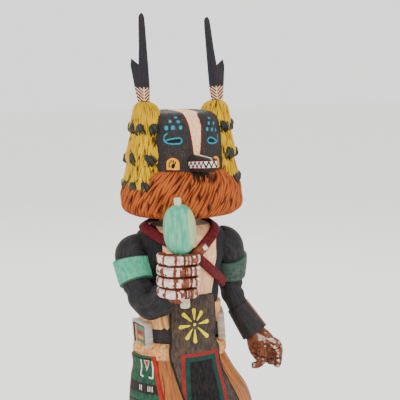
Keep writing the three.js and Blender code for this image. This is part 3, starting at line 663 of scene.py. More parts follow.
# Hands: fingers, palm and thumb as limbs, brown with white daubs and dark joint lines. The right fist's
# fingers are alike at four heights, the left hand's three curled ones at three depths.
hands = {
    "fistHeights": [204.8, 198.2, 191.6, 185],
    "fistBars": [0.3, 0.47, 0.6, 0.66, 0.72, 0.8],
    "fistPalm": [
        [-17.8, -36.6, 180, 5.4, 5], [-17.4, -37.6, 183.6, 8.8, 8.2], [-17.2, -37.8, 192, 9.8, 8.8],
        [-17, -37.8, 202, 9.2, 8.4], [-16.8, -37.4, 206.6, 7, 6.2],
    ],
    "fistThumb": [[-14, -36.5, 202, 3.2, 3.2], [-8.6, -38.5, 205.4, 3.3, 3.2],
                  [-3.8, -40.5, 208.6, 3.1, 2.9], [-0.2, -42, 211.2, 2.3, 2.1]],
    "fistDaubs": [((-1.6, -43.4, 210.5), (0.4, -43.6, 212), 1.7), ((-7, -41, 207.8), (-5, -42, 209), 1)],
    "curledDepths": [-4.6, 0, 4.4],
    "index": [[53, -8, 142, 3, 2.8], [57.6, -10.6, 140.2, 3.1, 2.9], [60, -11.8, 134.6, 3, 2.8],
              [60.2, -11.4, 128.4, 2.7, 2.5], [59.6, -10.8, 125.8, 2.1, 2]],
    "knuckles": ([59.6, -2.4, 135], [3.8, 7.6, 6.4]),
    "palm": [[48.5, -1, 147, 5.4, 5.8], [51.4, -2, 142, 7.2, 8.2], [54.4, -2.6, 136.2, 7.8, 9],
             [56.4, -2.6, 131, 6, 7.6]],
    "thumb": [[50.6, -7.5, 141, 3.6, 3.6], [50.4, -10.2, 135.4, 3.2, 3.2], [49.4, -11.2, 131, 2.8, 2.8],
              [46.6, -11.4, 128.4, 2.4, 2.4], [43, -11.2, 127.9, 1.9, 2]],
    "daubs": [
        ((47, -7.4, 147), (53, -9.8, 143), 1.1), ((46.5, -8, 144), (51, -10, 143.4), 0.8),
        ((52, -10, 146.4), (57, -11.4, 143.4), 0.7), ((48, -9.6, 139.5), (50.4, -12, 137), 0.6),
        ((55, -12.6, 140.4), (57, -14, 137.2), 0.5), ((60.6, -14, 134.4), (61.4, -13.6, 131), 0.5),
        ((54, -11, 143.4), (57.6, -13, 142), 0.9), ((57, -13.4, 139), (59.4, -14.4, 135), 0.8),
        ((59.6, -14, 131), (59.9, -13.6, 129.4), 0.7), ((59.2, -13, 127), (59.8, -13, 126.4), 0.9),
        ((43, -13, 128.4), (43.6, -13, 129), 0.8), ((53, -10.6, 138), (54.5, -11, 134.5), 0.6),
        ((63, -7, 140), (65.6, -7, 135), 0.8), ((50, -13, 133), (49, -13.4, 130.6), 0.6),
        ((61, -8, 142), (63, -8, 141), 0.8), ((64, -6, 131), (62.6, -6.4, 128.6), 0.7),
    ],
    "look": {
        "ground": "#5c2919", "tone": "#80462e", "rub": "#35160d", "rubAmount": 0.6, "rubShare": 0.5,
        "stretch": 0.6, "rough": 0.5, "daub": ("#e2d3cd", "#b08f84"), "joint": ("#22120d", "#463027"),
    },
    # Painted shade: darker paints, rubs and daubs for the left hand, which lies in shade
    "leftPaintedShade": {"ground": "#4d2516", "tone": "#75462d", "rub": "#1d0e0a", "rubAmount": 0.8,
                   "daub": ("#c4b1a7", "#8a6a5b")},
}


def handPaint(name, look):
    return painted(name, look, [("daub", "daub", 2.9), ("joint", "joint", 0.8)])


# Patches: a product of two sines plus a third, of places divided by the size in mm
def patches(grid, size, seed):
    x, y, z = np.moveaxis(grid / size, -1, 0)
    return np.sin(x * 3.1 + seed) * np.sin(y * 2.7 + 2 * seed) + np.sin(z * 3.6 + seed * 3 + x)


# A finger: dark lines at its joints, and white paint on its outer side but for bars of bare brown.
# Joints and bars are shares of its length, and white is the painted half-width as an angle times 3.2.
def finger(rows, joints=(), bars=(), white=0.0, square=2):
    grid, angle, distance = limb(rows, 36, 50, square=square)
    length = distance.max()
    lines = union(*[0.36 - np.abs(distance - place * length) for place in joints], unpainted)
    daub = white - np.abs(angle - math.pi) * 3.2
    for place in bars:
        daub = overlap(daub, np.abs(distance - place * length) - 0.62)
    return Form(grid, flow=flowOf(angle, distance, 4), joint=lines, daub=daub)


def makeHands():
    forms = []
    for i, z in enumerate(hands["fistHeights"]):
        drop = 0.9 * (i == 3)    # the little finger is shorter
        bars = [place + 0.02 * math.sin(i * 5) for place in hands["fistBars"]]
        form = finger([
            [-25, -33.5, z, 3, 3], [-26.6 + drop, -39, z, 3.2, 2.9], [-23.4 + drop, -45.4, z, 3.3, 2.9],
            [-16, -47.4, z, 3.35, 2.85], [-9.6 - drop, -46, z, 3.2, 2.8], [-7.6 - drop, -41, z, 2.7, 2.7],
        ], joints=(0.6 + 0.01 * i, 0.71), bars=bars, white=3.2, square=3)
        worn = 0.95 + patches(form.grid, np.array([1.5, 3, 7]), i + 0.4)
        form.fields["daub"] = overlap(form.fields["daub"], worn)
        forms.append(form)
    grid, angle, distance = limb(hands["fistPalm"], 54, 40, square=2.6)
    forms.append(Form(grid, flow=flowOf(angle, distance, 8), daub=patches(grid, 5, 2.0) - 0.9))
    thumb = finger(hands["fistThumb"], joints=(0.45,))
    thumb.fields["daub"] = union(*[daubField(thumb.grid, *daub) for daub in hands["fistDaubs"]])
    forms.append(thumb)
    material = handPaint("rightHandPaint", hands["look"])
    addPiece("rightHand", forms, material, "flesh_paint", "carved_figure")

    forms = [finger([
        [56, y + 1, 141.6 - i, 3.2, 2.8], [62.2, y, 139 - i, 3.1, 2.7], [64, y - 0.4, 133.6 - i, 2.95, 2.6],
        [61.4, y - 0.8, 128 - i * 0.5, 2.8, 2.5], [57, y - 0.4, 128.2, 2.6, 2.4],
    ], joints=(0.36, 0.66)) for i, y in enumerate(hands["curledDepths"])]
    forms.append(finger(hands["index"], joints=(0.42, 0.7)))
    forms.append(Form(lump(*hands["knuckles"]), flow=np.zeros(3)))
    forms.append(finger(hands["palm"]))
    forms.append(finger(hands["thumb"], joints=(0.5,)))
    for form in forms:
        smears = patches(form.grid, np.array([2.4, 3, 1.5]), 1.2) - 1.3
        form.fields["daub"] = union(smears, *[daubField(form.grid, *daub) for daub in hands["daubs"]])
    material = handPaint("leftHandPaint", {**hands["look"], **hands["leftPaintedShade"]})
    addPiece("leftHand", forms, material, "flesh_paint", "carved_figure")


# Clothes about the hips: shirt tail, a belt that tilts to the side, and a fleece roll
hips = {
    "tail": [[157, 24.2, 20, -1.1, 0], [164, 25, 20.4, -1, 0], [170.8, 24.6, 19.4, -0.4, 0]],
    "belt": {"middle": 154.2, "tilt": 4.4, "height": 10.4, "hips": [23.6, 19.6, -0.7], "relief": 1.2},
    "roll": [
        [137.4, 26.2, 21.6, -1.1, 0], [139.2, 28.6, 23.3, -1.2, 0], [142, 29, 23.7, -1.2, 0],
        [145.4, 28.2, 23, -1.2, 0], [148.2, 24.8, 20.2, -1.1, 0],
    ],
    # Painted shade darkens the tail's grooves
    "tailLook": {"ground": "#c08146", "tone": "#dcaa74", "cut": "#8a5830", "stretch": 0.12, "rough": 0.5},
    "beltLook": {"ground": "#232120", "tone": "#2f2a2b", "rub": "#7a5438", "stretch": 0.4},
    # Painted shade darkens the hollows of the fleece roll
    "rollLook": {"ground": "#b47641", "tone": "#d29a63", "cut": "#85552c", "stretch": 0.5, "rough": 0.55},
}


def makeHips():
    cuts = lambda turn, z: strands(turn, z, 34, 2.2, 0.3, 0.3, 0.1)
    relief = lambda turn, z: 0.3 - 0.8 * cuts(turn, z)
    grid, turn, z = upright(hips["tail"], 260, 24, square=2.2, relief=relief)
    form = Form(grid, flow=flowOf(turn, z, 24), cut=0.8 * cuts(turn, z))
    addPiece("shirtTail", [form], painted("tailPaint", hips["tailLook"]), "tan_paint", "carved_figure")

    # Belt: its thickness times the square root of 1 less the share of its half-height to the fourth
    belt = hips["belt"]
    half = belt["height"] / 2
    rows = [[height, *belt["hips"]] for height in (-half, 0, half)]
    rounded = lambda turn, z: belt["relief"] * np.sqrt(np.clip(1 - (np.abs(z) / half) ** 4, 0, 1)) - 0.1
    grid, turn, z = upright(rows, 140, 18, square=2.2, relief=rounded)
    x, up = turned(grid[..., 0], grid[..., 2], math.radians(belt["tilt"]))
    form = Form(spread(x, grid[..., 1], up + belt["middle"]), flow=flowOf(turn, z, 22))
    addPiece("belt", [form], painted("beltPaint", hips["beltLook"]), "black_paint", "carved_figure")

    # Fleece: short nicks, deeper along both edges, and a product of two sines between
    def fleece(turn, z):
        nicks = strands(turn, z * 2, 90, 3.3, 0.6, 0.34, 0.9)
        edge = np.maximum(ease(140.5, 138, z), ease(145, 148, z))
        return 0.3 * np.sin(23 * turn + z) * np.sin(31 * turn - z * 1.3) - 0.8 * nicks * (0.5 + 0.5 * edge)

    grid, turn, z = upright(hips["roll"], 360, 40, square=2.1, relief=fleece)
    # cut is 1 in the fleece's hollows, where the roll look paints shade
    form = Form(grid, flow=flowOf(turn, z, 26), cut=ease(0, -0.8, fleece(turn, z)))
    addPiece("hipRoll", [form], painted("rollPaint", hips["rollLook"]), "tan_paint", "carved_figure")


# Kilt: pleats, a cosine of the turn that fades toward the hips, less fine cuts
kilt = {
    "rows": [
        [66, 41.4, 33.8, 9.6, 0], [90, 39.9, 32.6, 8.4, 0], [112, 37.6, 30.8, 6, 0], [127, 32.2, 27, 1.6, 0],
        [139.5, 27.4, 22.6, -0.9, 0],
    ],
    "pleats": 12, "pleatDepth": 0.6, "cuts": 50,
    "look": {
        # Painted shade darkens the fine cuts
        "ground": "#74370a", "tone": "#9c5a10", "cut": "#3a1c0c", "rub": "#c98c3c", "rubAmount": 0.55,
        "rubShare": 0.5, "stretch": 0.06, "streakSize": 1.4, "rough": 0.48, "gloss": 0.4, "cloudSize": 14,
    },
}


def makeKilt():
    cuts = lambda turn, z: strands(turn, z, kilt["cuts"], 5.5, 0.25, 0.18, 0.12, 0)

    def pleats(turn, z):
        wave = kilt["pleatDepth"] * np.cos((turn - math.pi / 2) * kilt["pleats"])
        return wave * np.clip((140 - z) / 60, 0, 1) - 0.35 * cuts(turn, z)

    grid, turn, z = upright(kilt["rows"], 320, 80, relief=pleats)
    form = Form(grid, flow=flowOf(turn, z, 36), cut=0.9 * cuts(turn, z))
    addPiece("kilt", [form], painted("kiltPaint", kilt["look"]), "rust_paint", "carved_figure")


# Panels lie on the clothes, whose ellipse has a half-width, half-depth and middle at each height. A
# panel's rows are a height and the turns of its two sides in degrees.
clothes = [
    [66, 41.4, 33.8, 9.6], [90, 39.9, 32.6, 8.4], [112, 37.6, 30.8, 6], [127, 32.2, 27, 1.6],
    [134, 29.4, 24.4, 0], [140, 29, 23.7, -1.1], [145.4, 28.4, 23.2, -1.2], [150, 25.4, 21, -1.2],
    [160, 25.4, 20.8, -1.1], [178, 24.2, 18.6, 0],
]
panelForm = {"lift": 0.6, "rounding": 0.9, "sunk": -4.0, "backStep": 15}


# Panel: at each height the ellipse's points between its two turns, lifted by relief less a quarter round
# at the edges, and closed by points sunk below the clothes. Gives the closed rings, and for each point
# mm across from the panel's middle, mm to its nearest side edge, and the height.
def panel(rows, relief, across, count):
    z = np.linspace(rows[0][0], rows[-1][0], count)[:, None]
    table = rowsAtHeights(rows, z[:, 0])
    a, b, x = rowsAtHeights(clothes, z[:, 0]).T[1:, :, None]
    share = np.linspace(0, 1, across)[None, :]
    turn = np.radians(table[:, 1:2] + (table[:, 2:3] - table[:, 1:2]) * share)
    step = np.hypot(np.diff(np.sin(turn) * a, axis=1), np.diff(np.cos(turn) * b, axis=1))
    along = np.concatenate([np.zeros((count, 1)), np.cumsum(step, axis=1)], 1)
    edge = np.minimum(along, along[:, -1:] - along)
    ends = np.minimum(z - z[0], z[-1] - z)
    depth = panelForm["rounding"]
    lift = relief + panelForm["lift"] - depth * rounding(np.minimum(edge, ends + 0.2), depth)
    place = lambda angle, out: spread(x + np.sin(angle) * (a + out), -np.cos(angle) * (b + out), z)
    back = slice(None, None, -panelForm["backStep"])
    grid = np.concatenate([place(turn, lift), place(turn[:, back], panelForm["sunk"])], 1)
    closed = lambda field: np.concatenate([field, field[:, back]], 1)
    return grid, closed(along - along[:, -1:] / 2), closed(edge), closed(z + 0 * turn)


# Apron: a flower of petals, each a bearing and a reach, above three frames one inside another
apron = {
    "rows": [[70, -19, 35], [90, -21.5, 34], [112, -22.5, 33], [127, -25.5, 34.5], [140, -29.5, 36],
             [158, -31, 38], [177, -34, 36]],
    "relief": 1.6, "flower": (-0.3, 160.3),
    "petals": [(91, 9.6), (55, 9.3), (7, 9.7), (-43, 12.6), (-88, 11.2), (-121, 10.3), (-173, 9.7),
               (136, 10.1)],
    "look": {
        "ground": "#2c2625", "tone": "#4c3f36", "rub": "#7d5030", "rubAmount": 0.8, "rubShare": 0.6,
        "stretch": 0.3, "streakSize": 1.3, "yellow": ("#e8d800", "#c4ac00"), "red": ("#8e1f1b", "#6f1714"),
        "green": ("#12312d", "#1a3b30"), "ink": ("#0c0d10", "#231f1d"), "rim": ("#171413", "#2a2320"),
    },
}


def makeApron():
    grid, _, edge, z = panel(apron["rows"], apron["relief"], 121, 190)
    x = grid[..., 0]
    across, up = x - apron["flower"][0], z - apron["flower"][1]
    flower = union(0.9 - np.hypot(across, up), 0.6 - np.hypot(across + 4.2, up + 0.6))
    # A petal: a disc whose middle slides outward from near the heart and whose radius grows on the way
    for degrees, reach in apron["petals"]:
        along, off = turned(across, up, -math.radians(degrees))
        share = np.clip((along - 3) / (reach - 4), 0, 1)
        flower = union(flower, 0.3 + 0.95 * share - np.hypot(along - 3 - share * (reach - 4.1), off))
    frames = overlap(143.3 + 0.04 * x - z, x + 9.3 + (143 - z) * 0.04, 14.7 + (144 - z) * 0.11 - x, z - 79)
    material = painted("apronPaint", apron["look"], [
        ("outer", "red", 1.3), ("green", "green", 1.3), ("inner", "ink", 1.3), ("rim", "rim", 2.4),
        ("flower", "yellow", 0.8)])
    form = Form(grid, flow=spread(x, 0, z), flower=flower, outer=frames, green=frames - 1.9,
                inner=frames - 4.9, rim=1.5 - edge)
    addPiece("apron", [form], material, "black_paint", "carved_figure")


# Sash: its painted bands repeat down its length, each with a flag between two hooks, a dark band with
# ticks and a line. Strokes are in mm across and mm down from the band's top.
sash = {
    "rows": [[74, -98, -36], [92, -97, -38.5], [112, -96, -41.5], [126, -95.5, -44], [141, -95, -47]],
    "relief": 1.2, "top": 138.6, "repeat": 26,
    "hooks": ([(-4.1, 0.3), (-4, 9.3), (-2, 10)], [(3.5, 0.3), (4.6, 10.3), (2.3, 10)]),
    "ticks": [-3.9, -2.6, 2, 3.3, 4.8],
    "look": {
        "ground": "#1b3b2c", "tone": "#2b523b", "rub": "#1a201c", "rubAmount": 0.6, "stretch": 0.4,
        "flagWhite": ("#ded5c8", "#b9ab98"), "white": ("#ded5c8", "#c4b8a6"), "ink": ("#1c1a1a", "#2f2926"),
        "coreRed": ("#9a2a1c", "#7c1a15"), "red": ("#9a2a1c", "#7c2319"),
    },
}


def makeSash():
    grid, across, edge, z = panel(sash["rows"], sash["relief"], 91, 140)
    turn = np.degrees(np.arctan2(grid[..., 0], -grid[..., 1]))
    x = (turn + 64.5) * (0.5 + (138 - z) * 0.001)
    down = (sash["top"] - z) % sash["repeat"]
    flag = overlap(1.9 - down * 0.28 - np.abs(x), down + 0.2)
    left, right = (strokeField(x, down, line, 0.8) for line in sash["hooks"])
    ticks = [strokeField(x, down, [(place, 15.3), (place + 0.2, 18.2)], 0.55) for place in sash["ticks"]]
    material = painted("sashPaint", sash["look"], [
        ("flag", "flagWhite", 0.8), ("core", "coreRed", 0.8), ("hook", "white", 0.8), ("band", "ink", 1.3),
        ("ticks", "white", 0.8), ("line", "ink", 1), ("border", "red", 1.3)])
    form = Form(grid, flow=spread(across, 0, z), flag=flag, core=overlap(flag - 0.45, 5.2 - down),
                hook=np.where(x < 0, left, right), band=boxField(x, down - 17, 40, 3.1, 0.2),
                ticks=union(*ticks), line=0.7 - np.abs(down - 25.2), border=union(2.2 - edge, 76.6 - z))
    addPiece("sash", [form], material, "red_paint", "carved_figure")


# Legs and moccasins under the kilt, as upright lofts about each leg's x and y
legs = {
    "places": [(-12, 4), (28, 3)],
    "leg": [[14, 8.6, 9.6], [26, 9, 9.8], [46, 11.2, 11.6], [72, 13, 13]],
    # Height, half-width, half-depth and mm that the middle lies ahead of the leg's
    "shoe": [[0, 9.6, 18.8, 7], [3, 10.8, 20, 7], [11, 10.4, 15, 3.6], [16, 10, 12, 0.6],
             [27, 10.1, 11.1, 0]],
    "soleSeam": 3.4,
    "legLook": {"ground": "#2e2926", "tone": "#423931", "rub": "#7d573c", "stretch": 0.3},
    "shoeLook": {"ground": "#74381b", "tone": "#8d5030", "rub": "#4a2512", "cut": "#3d2418", "stretch": 0.5},
}


def makeLegs():
    columns, shoes = [], []
    for x, y in legs["places"]:
        grid, turn, z = upright([[*row, x, y] for row in legs["leg"]], 56, 36)
        columns.append(Form(grid, flow=flowOf(turn, z, 11)))
        rows = [[z, a, b, x, y - ahead] for z, a, b, ahead in legs["shoe"]]
        grid, turn, z = upright(rows, 80, 44, square=2.3)
        seam = ease(0.5, 0, np.abs(z - legs["soleSeam"]))
        shoes.append(Form(grid, flow=flowOf(turn, z, 13), cut=seam))
    addPiece("legs", columns, painted("legPaint", legs["legLook"]), "black_paint", "carved_figure")
    addPiece("moccasins", shoes, painted("moccasinPaint", legs["shoeLook"]), "flesh_paint", "carved_figure")


# Snout: a square-sided loft along -Y with a level top; it rounds off over its last eighth and rings
# close its front. Root and tip are width and height.
snout = {
    "length": 22.5, "start": 25.6, "top": 262.8, "root": (11, 10), "tip": (9.4, 8.2), "roundFrom": 0.88,
    "tooth": 3.2, "teethHalf": 1.7, "sideShare": 0.52,
    "look": {
        "ground": "#1c1918", "tone": "#2a2523", "rub": "#6d4a33", "rubAmount": 0.4, "stretch": 0.5,
        "cream": ("#dcc2a6", "#bfa283"), "white": ("#dccabb", "#cdbfae"), "red": ("#5c1218", "#4f1719"),
        "ink": ("#12100f", "#12100f"),
    },
}


def makeSnout():
    begin, rings = snout["roundFrom"], 24
    rest = 1 - begin
    quarter = np.sin(np.linspace(0.05, 1, 18) * math.pi / 2)
    along = np.concatenate([np.linspace(-0.1, begin, 46), begin + rest * quarter, np.full(rings, 1)])[:, None]
    taper = np.sqrt(np.clip(1 - (np.clip(along - begin, 0, 1) / 0.12) ** 2 * 0.5, 0, 1))
    taper[-rings:, 0] *= np.linspace(0.96, 0.03, rings)
    share = np.clip(along, 0, 1)
    width, height = (root + (tip - root) * share for root, tip in zip(snout["root"], snout["tip"]))
    dx, dz = superellipse(circle(130), width / 2 * taper, height / 2 * taper, 3)
    y = -snout["start"] - along * snout["length"]
    grid = spread(dx, y, snout["top"] - height / 2 + dz)
    # mm round the snout from the middle of its front
    path = dx + np.sign(dx) * snout["length"] * snout["sideShare"] * np.clip(0.97 - along, 0, 1)
    below = snout["top"] - grid[..., 2]
    offMiddle = below - (6.05 - 2.45 * share)
    band = overlap(1.85 - np.abs(offMiddle), along * snout["length"] - 1)
    # Teeth: a zigzag line, the distance to a fold of the path over one tooth's width
    half = snout["teethHalf"]
    fold = np.abs((path / snout["tooth"]) % 1 - 0.5) * 4 - 1
    zigzag = 0.4 - np.abs(offMiddle - fold * half) / math.hypot(1, 4 * half / snout["tooth"])
    strip = overlap(1.5 - np.abs(dx) - 0.6 * share, 1.6 - below, 0.96 - along)
    material = painted("snoutPaint", snout["look"], [
        ("edge", "red", 0.6), ("band", "white", 0.5), ("zigzag", "ink", 0.5), ("strip", "cream", 0.7)])
    form = Form(grid, flow=spread(dx, dz, y), edge=band + 0.55, band=band, zigzag=overlap(zigzag, band),
                strip=strip)
    addPiece("snoutCarving", [form], material, "black_paint", "snout")


# Hair bundles: three tiers of strands with rounded tufts at each tier's lower end. Tier rows are height,
# half-width, half-depth and mm out from the middle; reach scales heights below the top.
bundles = {
    "top": 292.6, "reach": {"right": 1, "left": 0.93}, "strands": 44, "gashes": 17,
    "tiers": [
        [[272.5, 8.4, 11.8, 21.6], [277, 9.1, 12.8, 21.6], [284.5, 8.4, 12, 21.8], [290, 6.4, 9, 22.4],
         [292.6, 3.4, 4.4, 23]],
        [[256, 9.4, 14, 22.6], [259.5, 10.4, 15.2, 22.6], [267, 10, 14.6, 22.4], [275, 8.6, 12.4, 21.8],
         [281, 6, 9, 21.6]],
        [[240, 9.8, 15.6, 23.4], [243.4, 11.2, 17.2, 23.4], [250, 11, 16.8, 23.2], [256, 10, 15, 22.8],
         [262, 7.4, 11.4, 22.4]],
    ],
    # Degrees round each tier, half-sizes, and mm that a tuft's middle lies inside the strands
    "tufts": [[-84, -38, -5, 45], [-77, -20, 40], [-62, -28, 4, 48]], "tuftSize": [4.1, 4.9, 4.2],
    "tuftInset": 1.9,
    "look": {
        # Painted shade darkens the strands' cuts and a painted highlight lightens their crests
        "ground": "#9a7000", "tone": "#b88e00", "cut": "#38200a", "crestHighlight": "#d8ae00", "crestHighlightShare": 0.5,
        "rough": 0.6, "stretch": 0.1, "streakSize": 1.2, "bump": 0.5, "cutRange": (0.36, 0.84),
    },
    "tuftLook": {
        # Painted shade darkens the tufts' grooves
        "ground": "#272822", "tone": "#3c3d33", "cut": "#151513", "stretch": 0.3, "rub": "#8b7430",
        "rubAmount": 0.7, "rubShare": 0.7, "rubSize": 1.6,
    },
}


# A tuft: a lump that is lopsided, fringed below and grooved aslant, each by a sine of the angle
def tuft(middle, degrees, seed):
    def ragged(angle, rise):
        lopsided = 0.14 * np.sin(2 * angle + degrees) * np.cos(rise * 2 + seed)
        fringe = 0.22 * np.sin(7 * angle + degrees) * ease(0.1, -0.8, rise)
        return lopsided + fringe - 0.13 * np.abs(np.sin(angle * 5 + rise * 2.4 + seed))

    grid = lump(middle, bundles["tuftSize"], 44, 24, ragged)
    local = grid - grid.reshape(-1, 3).mean(0)
    bearing = np.arctan2(local[..., 1], local[..., 0])
    slant = np.arcsin(np.clip(local[..., 2] / bundles["tuftSize"][2], -1, 1))
    return Form(grid, flow=local, cut=np.abs(np.cos(bearing * 5 + slant * 2.4 + seed)) ** 5)


def makeBundles():
    top, square = bundles["top"], 2.2
    for name, side in sides.items():
        hair, tufts = [], []
        for tier, tierRows in enumerate(bundles["tiers"]):
            rows = [[top - (top - z) * bundles["reach"][name], a, b, side * x, 0] for z, a, b, x in tierRows]
            seed = tier * 2.1 + side
            low = rows[1][0]

            def cutsAt(turn, z):
                fine = strands(turn, z * 1.3, bundles["strands"], seed, 0.5, 0.34, 0.35, 0.25)
                gash = strands(turn, z * 1.1, bundles["gashes"], seed + 2, 0.5, 0.16, 0.45)
                return np.maximum(fine * 0.8, gash)

            # Strands stand out at the tier's lower end
            relief = lambda turn, z: ease(low + 7, low, z) - 0.9 * cutsAt(turn, z)
            grid, turn, z = upright(rows, 250, 54, square=square, relief=relief)
            hair.append(Form(grid, flow=flowOf(turn, z + tier * 40, 13), cut=cutsAt(turn, z)))
            z, a, b, x, _ = rows[1]
            a, b = a - bundles["tuftInset"], b - bundles["tuftInset"]
            for degrees in bundles["tufts"][tier]:
                dx, dy = superellipse(math.radians(degrees), a, b, square)
                tufts.append(tuft([x + side * dx, dy, z], degrees, seed))
        node = f"{name}_hair_bundle"
        material = painted(f"{name}HairPaint", bundles["look"])
        addPiece(f"{name}HairStrands", hair, material, "yellow_paint", node)
        material = painted(f"{name}TuftPaint", bundles["tuftLook"])
        addPiece(f"{name}Tufts", tufts, material, "black_paint", node)


# Feathers: a blade with a shaft and barb lines, and an outer barb beside it. Blade rows are mm along the
# quill, inner edge and outer edge; barb rows are mm along and outer edge; the barb ends in a slant from
# its notch beside the blade up to its tip. All are for a quill of fullLength.
feathers = {
    "lengths": {"right": 53, "left": 50.6}, "fullLength": 55, "thickness": 2.4, "leanBack": 12.5,
    "leanIn": 2.8, "middle": 23.6,
    "blade": [[0, -3.6, 3.6], [7.5, -4, 3.9], [22, -3.5, 2.5], [34, -2.9, 1.9], [49, -2.2, 1.7],
              [52.6, -1.9, 1.55], [54.2, -1.3, 1], [54.8, -0.8, 0.5], [55, -0.3, 0.1]],
    "barb": [[0, 3.6], [8, 5.2], [22, 7.5], [26.4, 7]], "barbNotch": 21.4, "barbTip": 26.4,
    "look": {
        # Painted shade darkens the barb lines a little and a painted highlight lightens the crests between
        # them to brown
        "ground": "#13151c", "tone": "#1e2129", "cut": "#121114", "crestHighlight": "#55423b", "crestHighlightShare": 0.7,
        "stretch": 0.3, "rough": 0.55, "cream": ("#e2bd9f", "#cda182"), "brown": ("#3c190f", "#5c3324"),
    },
}


# One leaf of a feather in its own plane, u across and v along in mm: its half-thickness is raised by the
# shaft and lowered by slanting barb lines, then the plane leans back and inward
def leaf(u, v, face, name, thickness):
    side, up = sides[name], v * feathers["lengths"][name] / feathers["fullLength"]
    shaft = np.exp(-(u / 0.5) ** 2)
    lines = 0.5 + 0.5 * np.cos((up - np.abs(u) * 1.3) * tau / 1.15)
    base = 7.9 + 0.5 * (np.abs((u * 1.6) % 2 - 1) * 2 - 1) - up
    chevrons = 0.42 - np.abs(((up - np.abs(u) * 0.85) / 1.9) % 1 - 0.5) * 1.9 * 0.76
    chevrons = overlap(chevrons, base + 0.2, np.abs(u) - 0.3)
    depth = face * thickness / 2 * (0.8 + 0.2 * shaft - 0.1 * lines)
    x, z = turned(side * u, up, math.radians(side * feathers["leanIn"]))
    y, z = turned(depth, z, -math.radians(feathers["leanBack"]))
    return Form(spread(x + side * feathers["middle"], y, z + bundles["top"] + gap),
                flow=spread(u, depth, up), base=base, chevrons=chevrons, cut=0.55 * lines)


def makeFeathers():
    angle = circle(96)
    share = 0.5 - 0.5 * power(np.cos(angle), 0.8)
    face = power(np.sin(angle), 0.35)
    full, notch, tip = feathers["fullLength"], feathers["barbNotch"], feathers["barbTip"]
    places, inner, outer = np.array(feathers["blade"]).T
    # Extra rings where the blade's tip rounds off
    v = np.sort(np.append(np.linspace(0, full, 130), np.linspace(52.6, 54.97, 16)))[:, None]
    low, high = np.interp(v, places, inner), np.interp(v, places, outer)
    rise = np.linspace(0, 1, 64)[:, None]
    barbOuter = np.interp(rise * tip, *np.array(feathers["barb"]).T)
    thinned = feathers["thickness"] * 0.96 * (1 - 0.5 * ease(0.94, 1, rise))
    barbPlaces = rise * (notch + (tip - notch) * share)
    for name in sides:
        blade = leaf(low + (high - low) * share, v + 0 * share, face, name, feathers["thickness"])
        barb = leaf(1 + (barbOuter - 1) * share, barbPlaces, face, name, thinned)
        material = painted(f"{name}FeatherPaint", feathers["look"], [
            ("base", "cream", 0.8), ("chevrons", "brown", 0.4)])
        addPiece(f"{name}FeatherBlade", [blade, barb], material, "black_paint", f"{name}_feather")


# Gourd rattle: a flattened gourd with a flat oval face and a yellowish side, on a stick that is the
# handle below it and the stem above. Heights are from its own place; turn and lean are in degrees.
rattle = {
    "width": 18.4, "height": 29.2, "thickness": 12.4, "bottom": 17, "oval": 2.4, "flatness": 3.4, "turn": 36,
    "stem": 2.1, "handle": 2.9, "stemLength": 4, "handleLength": 31.5, "lean": 4.3,
    "place": [-14.4, -41, 190],
    "look": {
        "ground": "#379079", "tone": "#66ad86", "rub": "#c4b878", "rubAmount": 0.6, "rubShare": 0.5,
        "stretch": 0.2, "streakSize": 1.8, "side": ("#b2ab72", "#66ad86"), "cream": ("#d3c39c", "#a9b48e"),
        "rough": 0.6,
    },
}


def makeRattle():
    # Gourd: rings whose half-width follows one superellipse of the rise and half-thickness another
    rise = np.sin(np.linspace(-0.49, 0.49, 70) * math.pi)[:, None]
    wide, thick = [(1 - np.abs(rise) ** k) ** (1 / k) / 2 for k in (rattle["oval"], rattle["flatness"])]
    u, v = superellipse(circle(120), wide * rattle["width"], thick * rattle["thickness"], rattle["flatness"])
    x, y = turned(u, v, math.radians(-rattle["turn"]))
    z = rattle["bottom"] + rattle["height"] / 2 * (1 + rise)
    gourd = Form(spread(x, y, z), flow=spread(u, v, z), stick=unpainted, side=u - 6.9 + 0.04 * (z - 30))
    # Stick: a rod whose radius goes straight from one height to the next
    top = rattle["bottom"] + rattle["height"] + rattle["stemLength"]
    bottom = rattle["bottom"] - rattle["handleLength"]
    heights = [bottom, bottom + 0.6, rattle["bottom"] + 4, rattle["bottom"] + 25, top - 0.5, top]
    handle, stem = rattle["handle"], rattle["stem"]
    height = np.sort(np.append(np.linspace(bottom, top, 50), heights))[:, None]
    radius = np.interp(height, heights, [handle - 0.5, handle, handle, stem, stem, stem - 0.4])
    rod = spread(radius * np.cos(circle(48)), radius * np.sin(circle(48)), height)
    stick = Form(rod, flow=rod, stick=-unpainted, side=unpainted)
    for part in (gourd, stick):
        x, z = turned(part.grid[..., 0], part.grid[..., 2], math.radians(rattle["lean"]))
        part.grid = spread(x, part.grid[..., 1], z) + rattle["place"]
    material = painted("rattlePaint", rattle["look"], [("side", "side", 4), ("stick", "cream", 1)])
    addPiece("rattle", [gourd, stick], material, "turquoise_paint", "gourd_rattle")


# Belt plaques: a slab with a rounded rim and a slightly sunk panel of painted bars
plaques = {
    "width": 20, "height": 17, "thickness": 4.6, "proud": 2.6, "border": 2.2, "sunk": 0.45,
    "facing": {"right": -85, "left": 71},
    # Depths of the slab's rings and how far each lies inside the outline
    "rim": [(0, 0.4), (0.4, 0.1), (1, 0), (2, 0), (3, 0), (4.2, 0.05), (4.5, 0.2), (4.6, 0.5)],
    "look": {
        "ground": "#93877f", "tone": "#b4a89f", "rub": "#7a6c64", "rubAmount": 0.4, "stretch": 0.8,
        "rough": 0.5, "inlay": ("#6b5a4c", "#574538"), "ink": ("#221d1c", "#221d1c"),
        "green": ("#3f7d5c", "#2f6148"), "red": ("#8f1f1c", "#70130f"), "yellow": ("#cf9420", "#a87212"),
        "tan": ("#b5834f", "#94683c"),
    },
    # Painted shade: darker paints for the left plaque, which lies in shade
    "leftPaintedShade": {"ground": "#8c7a6b", "tone": "#a8988a"},
}


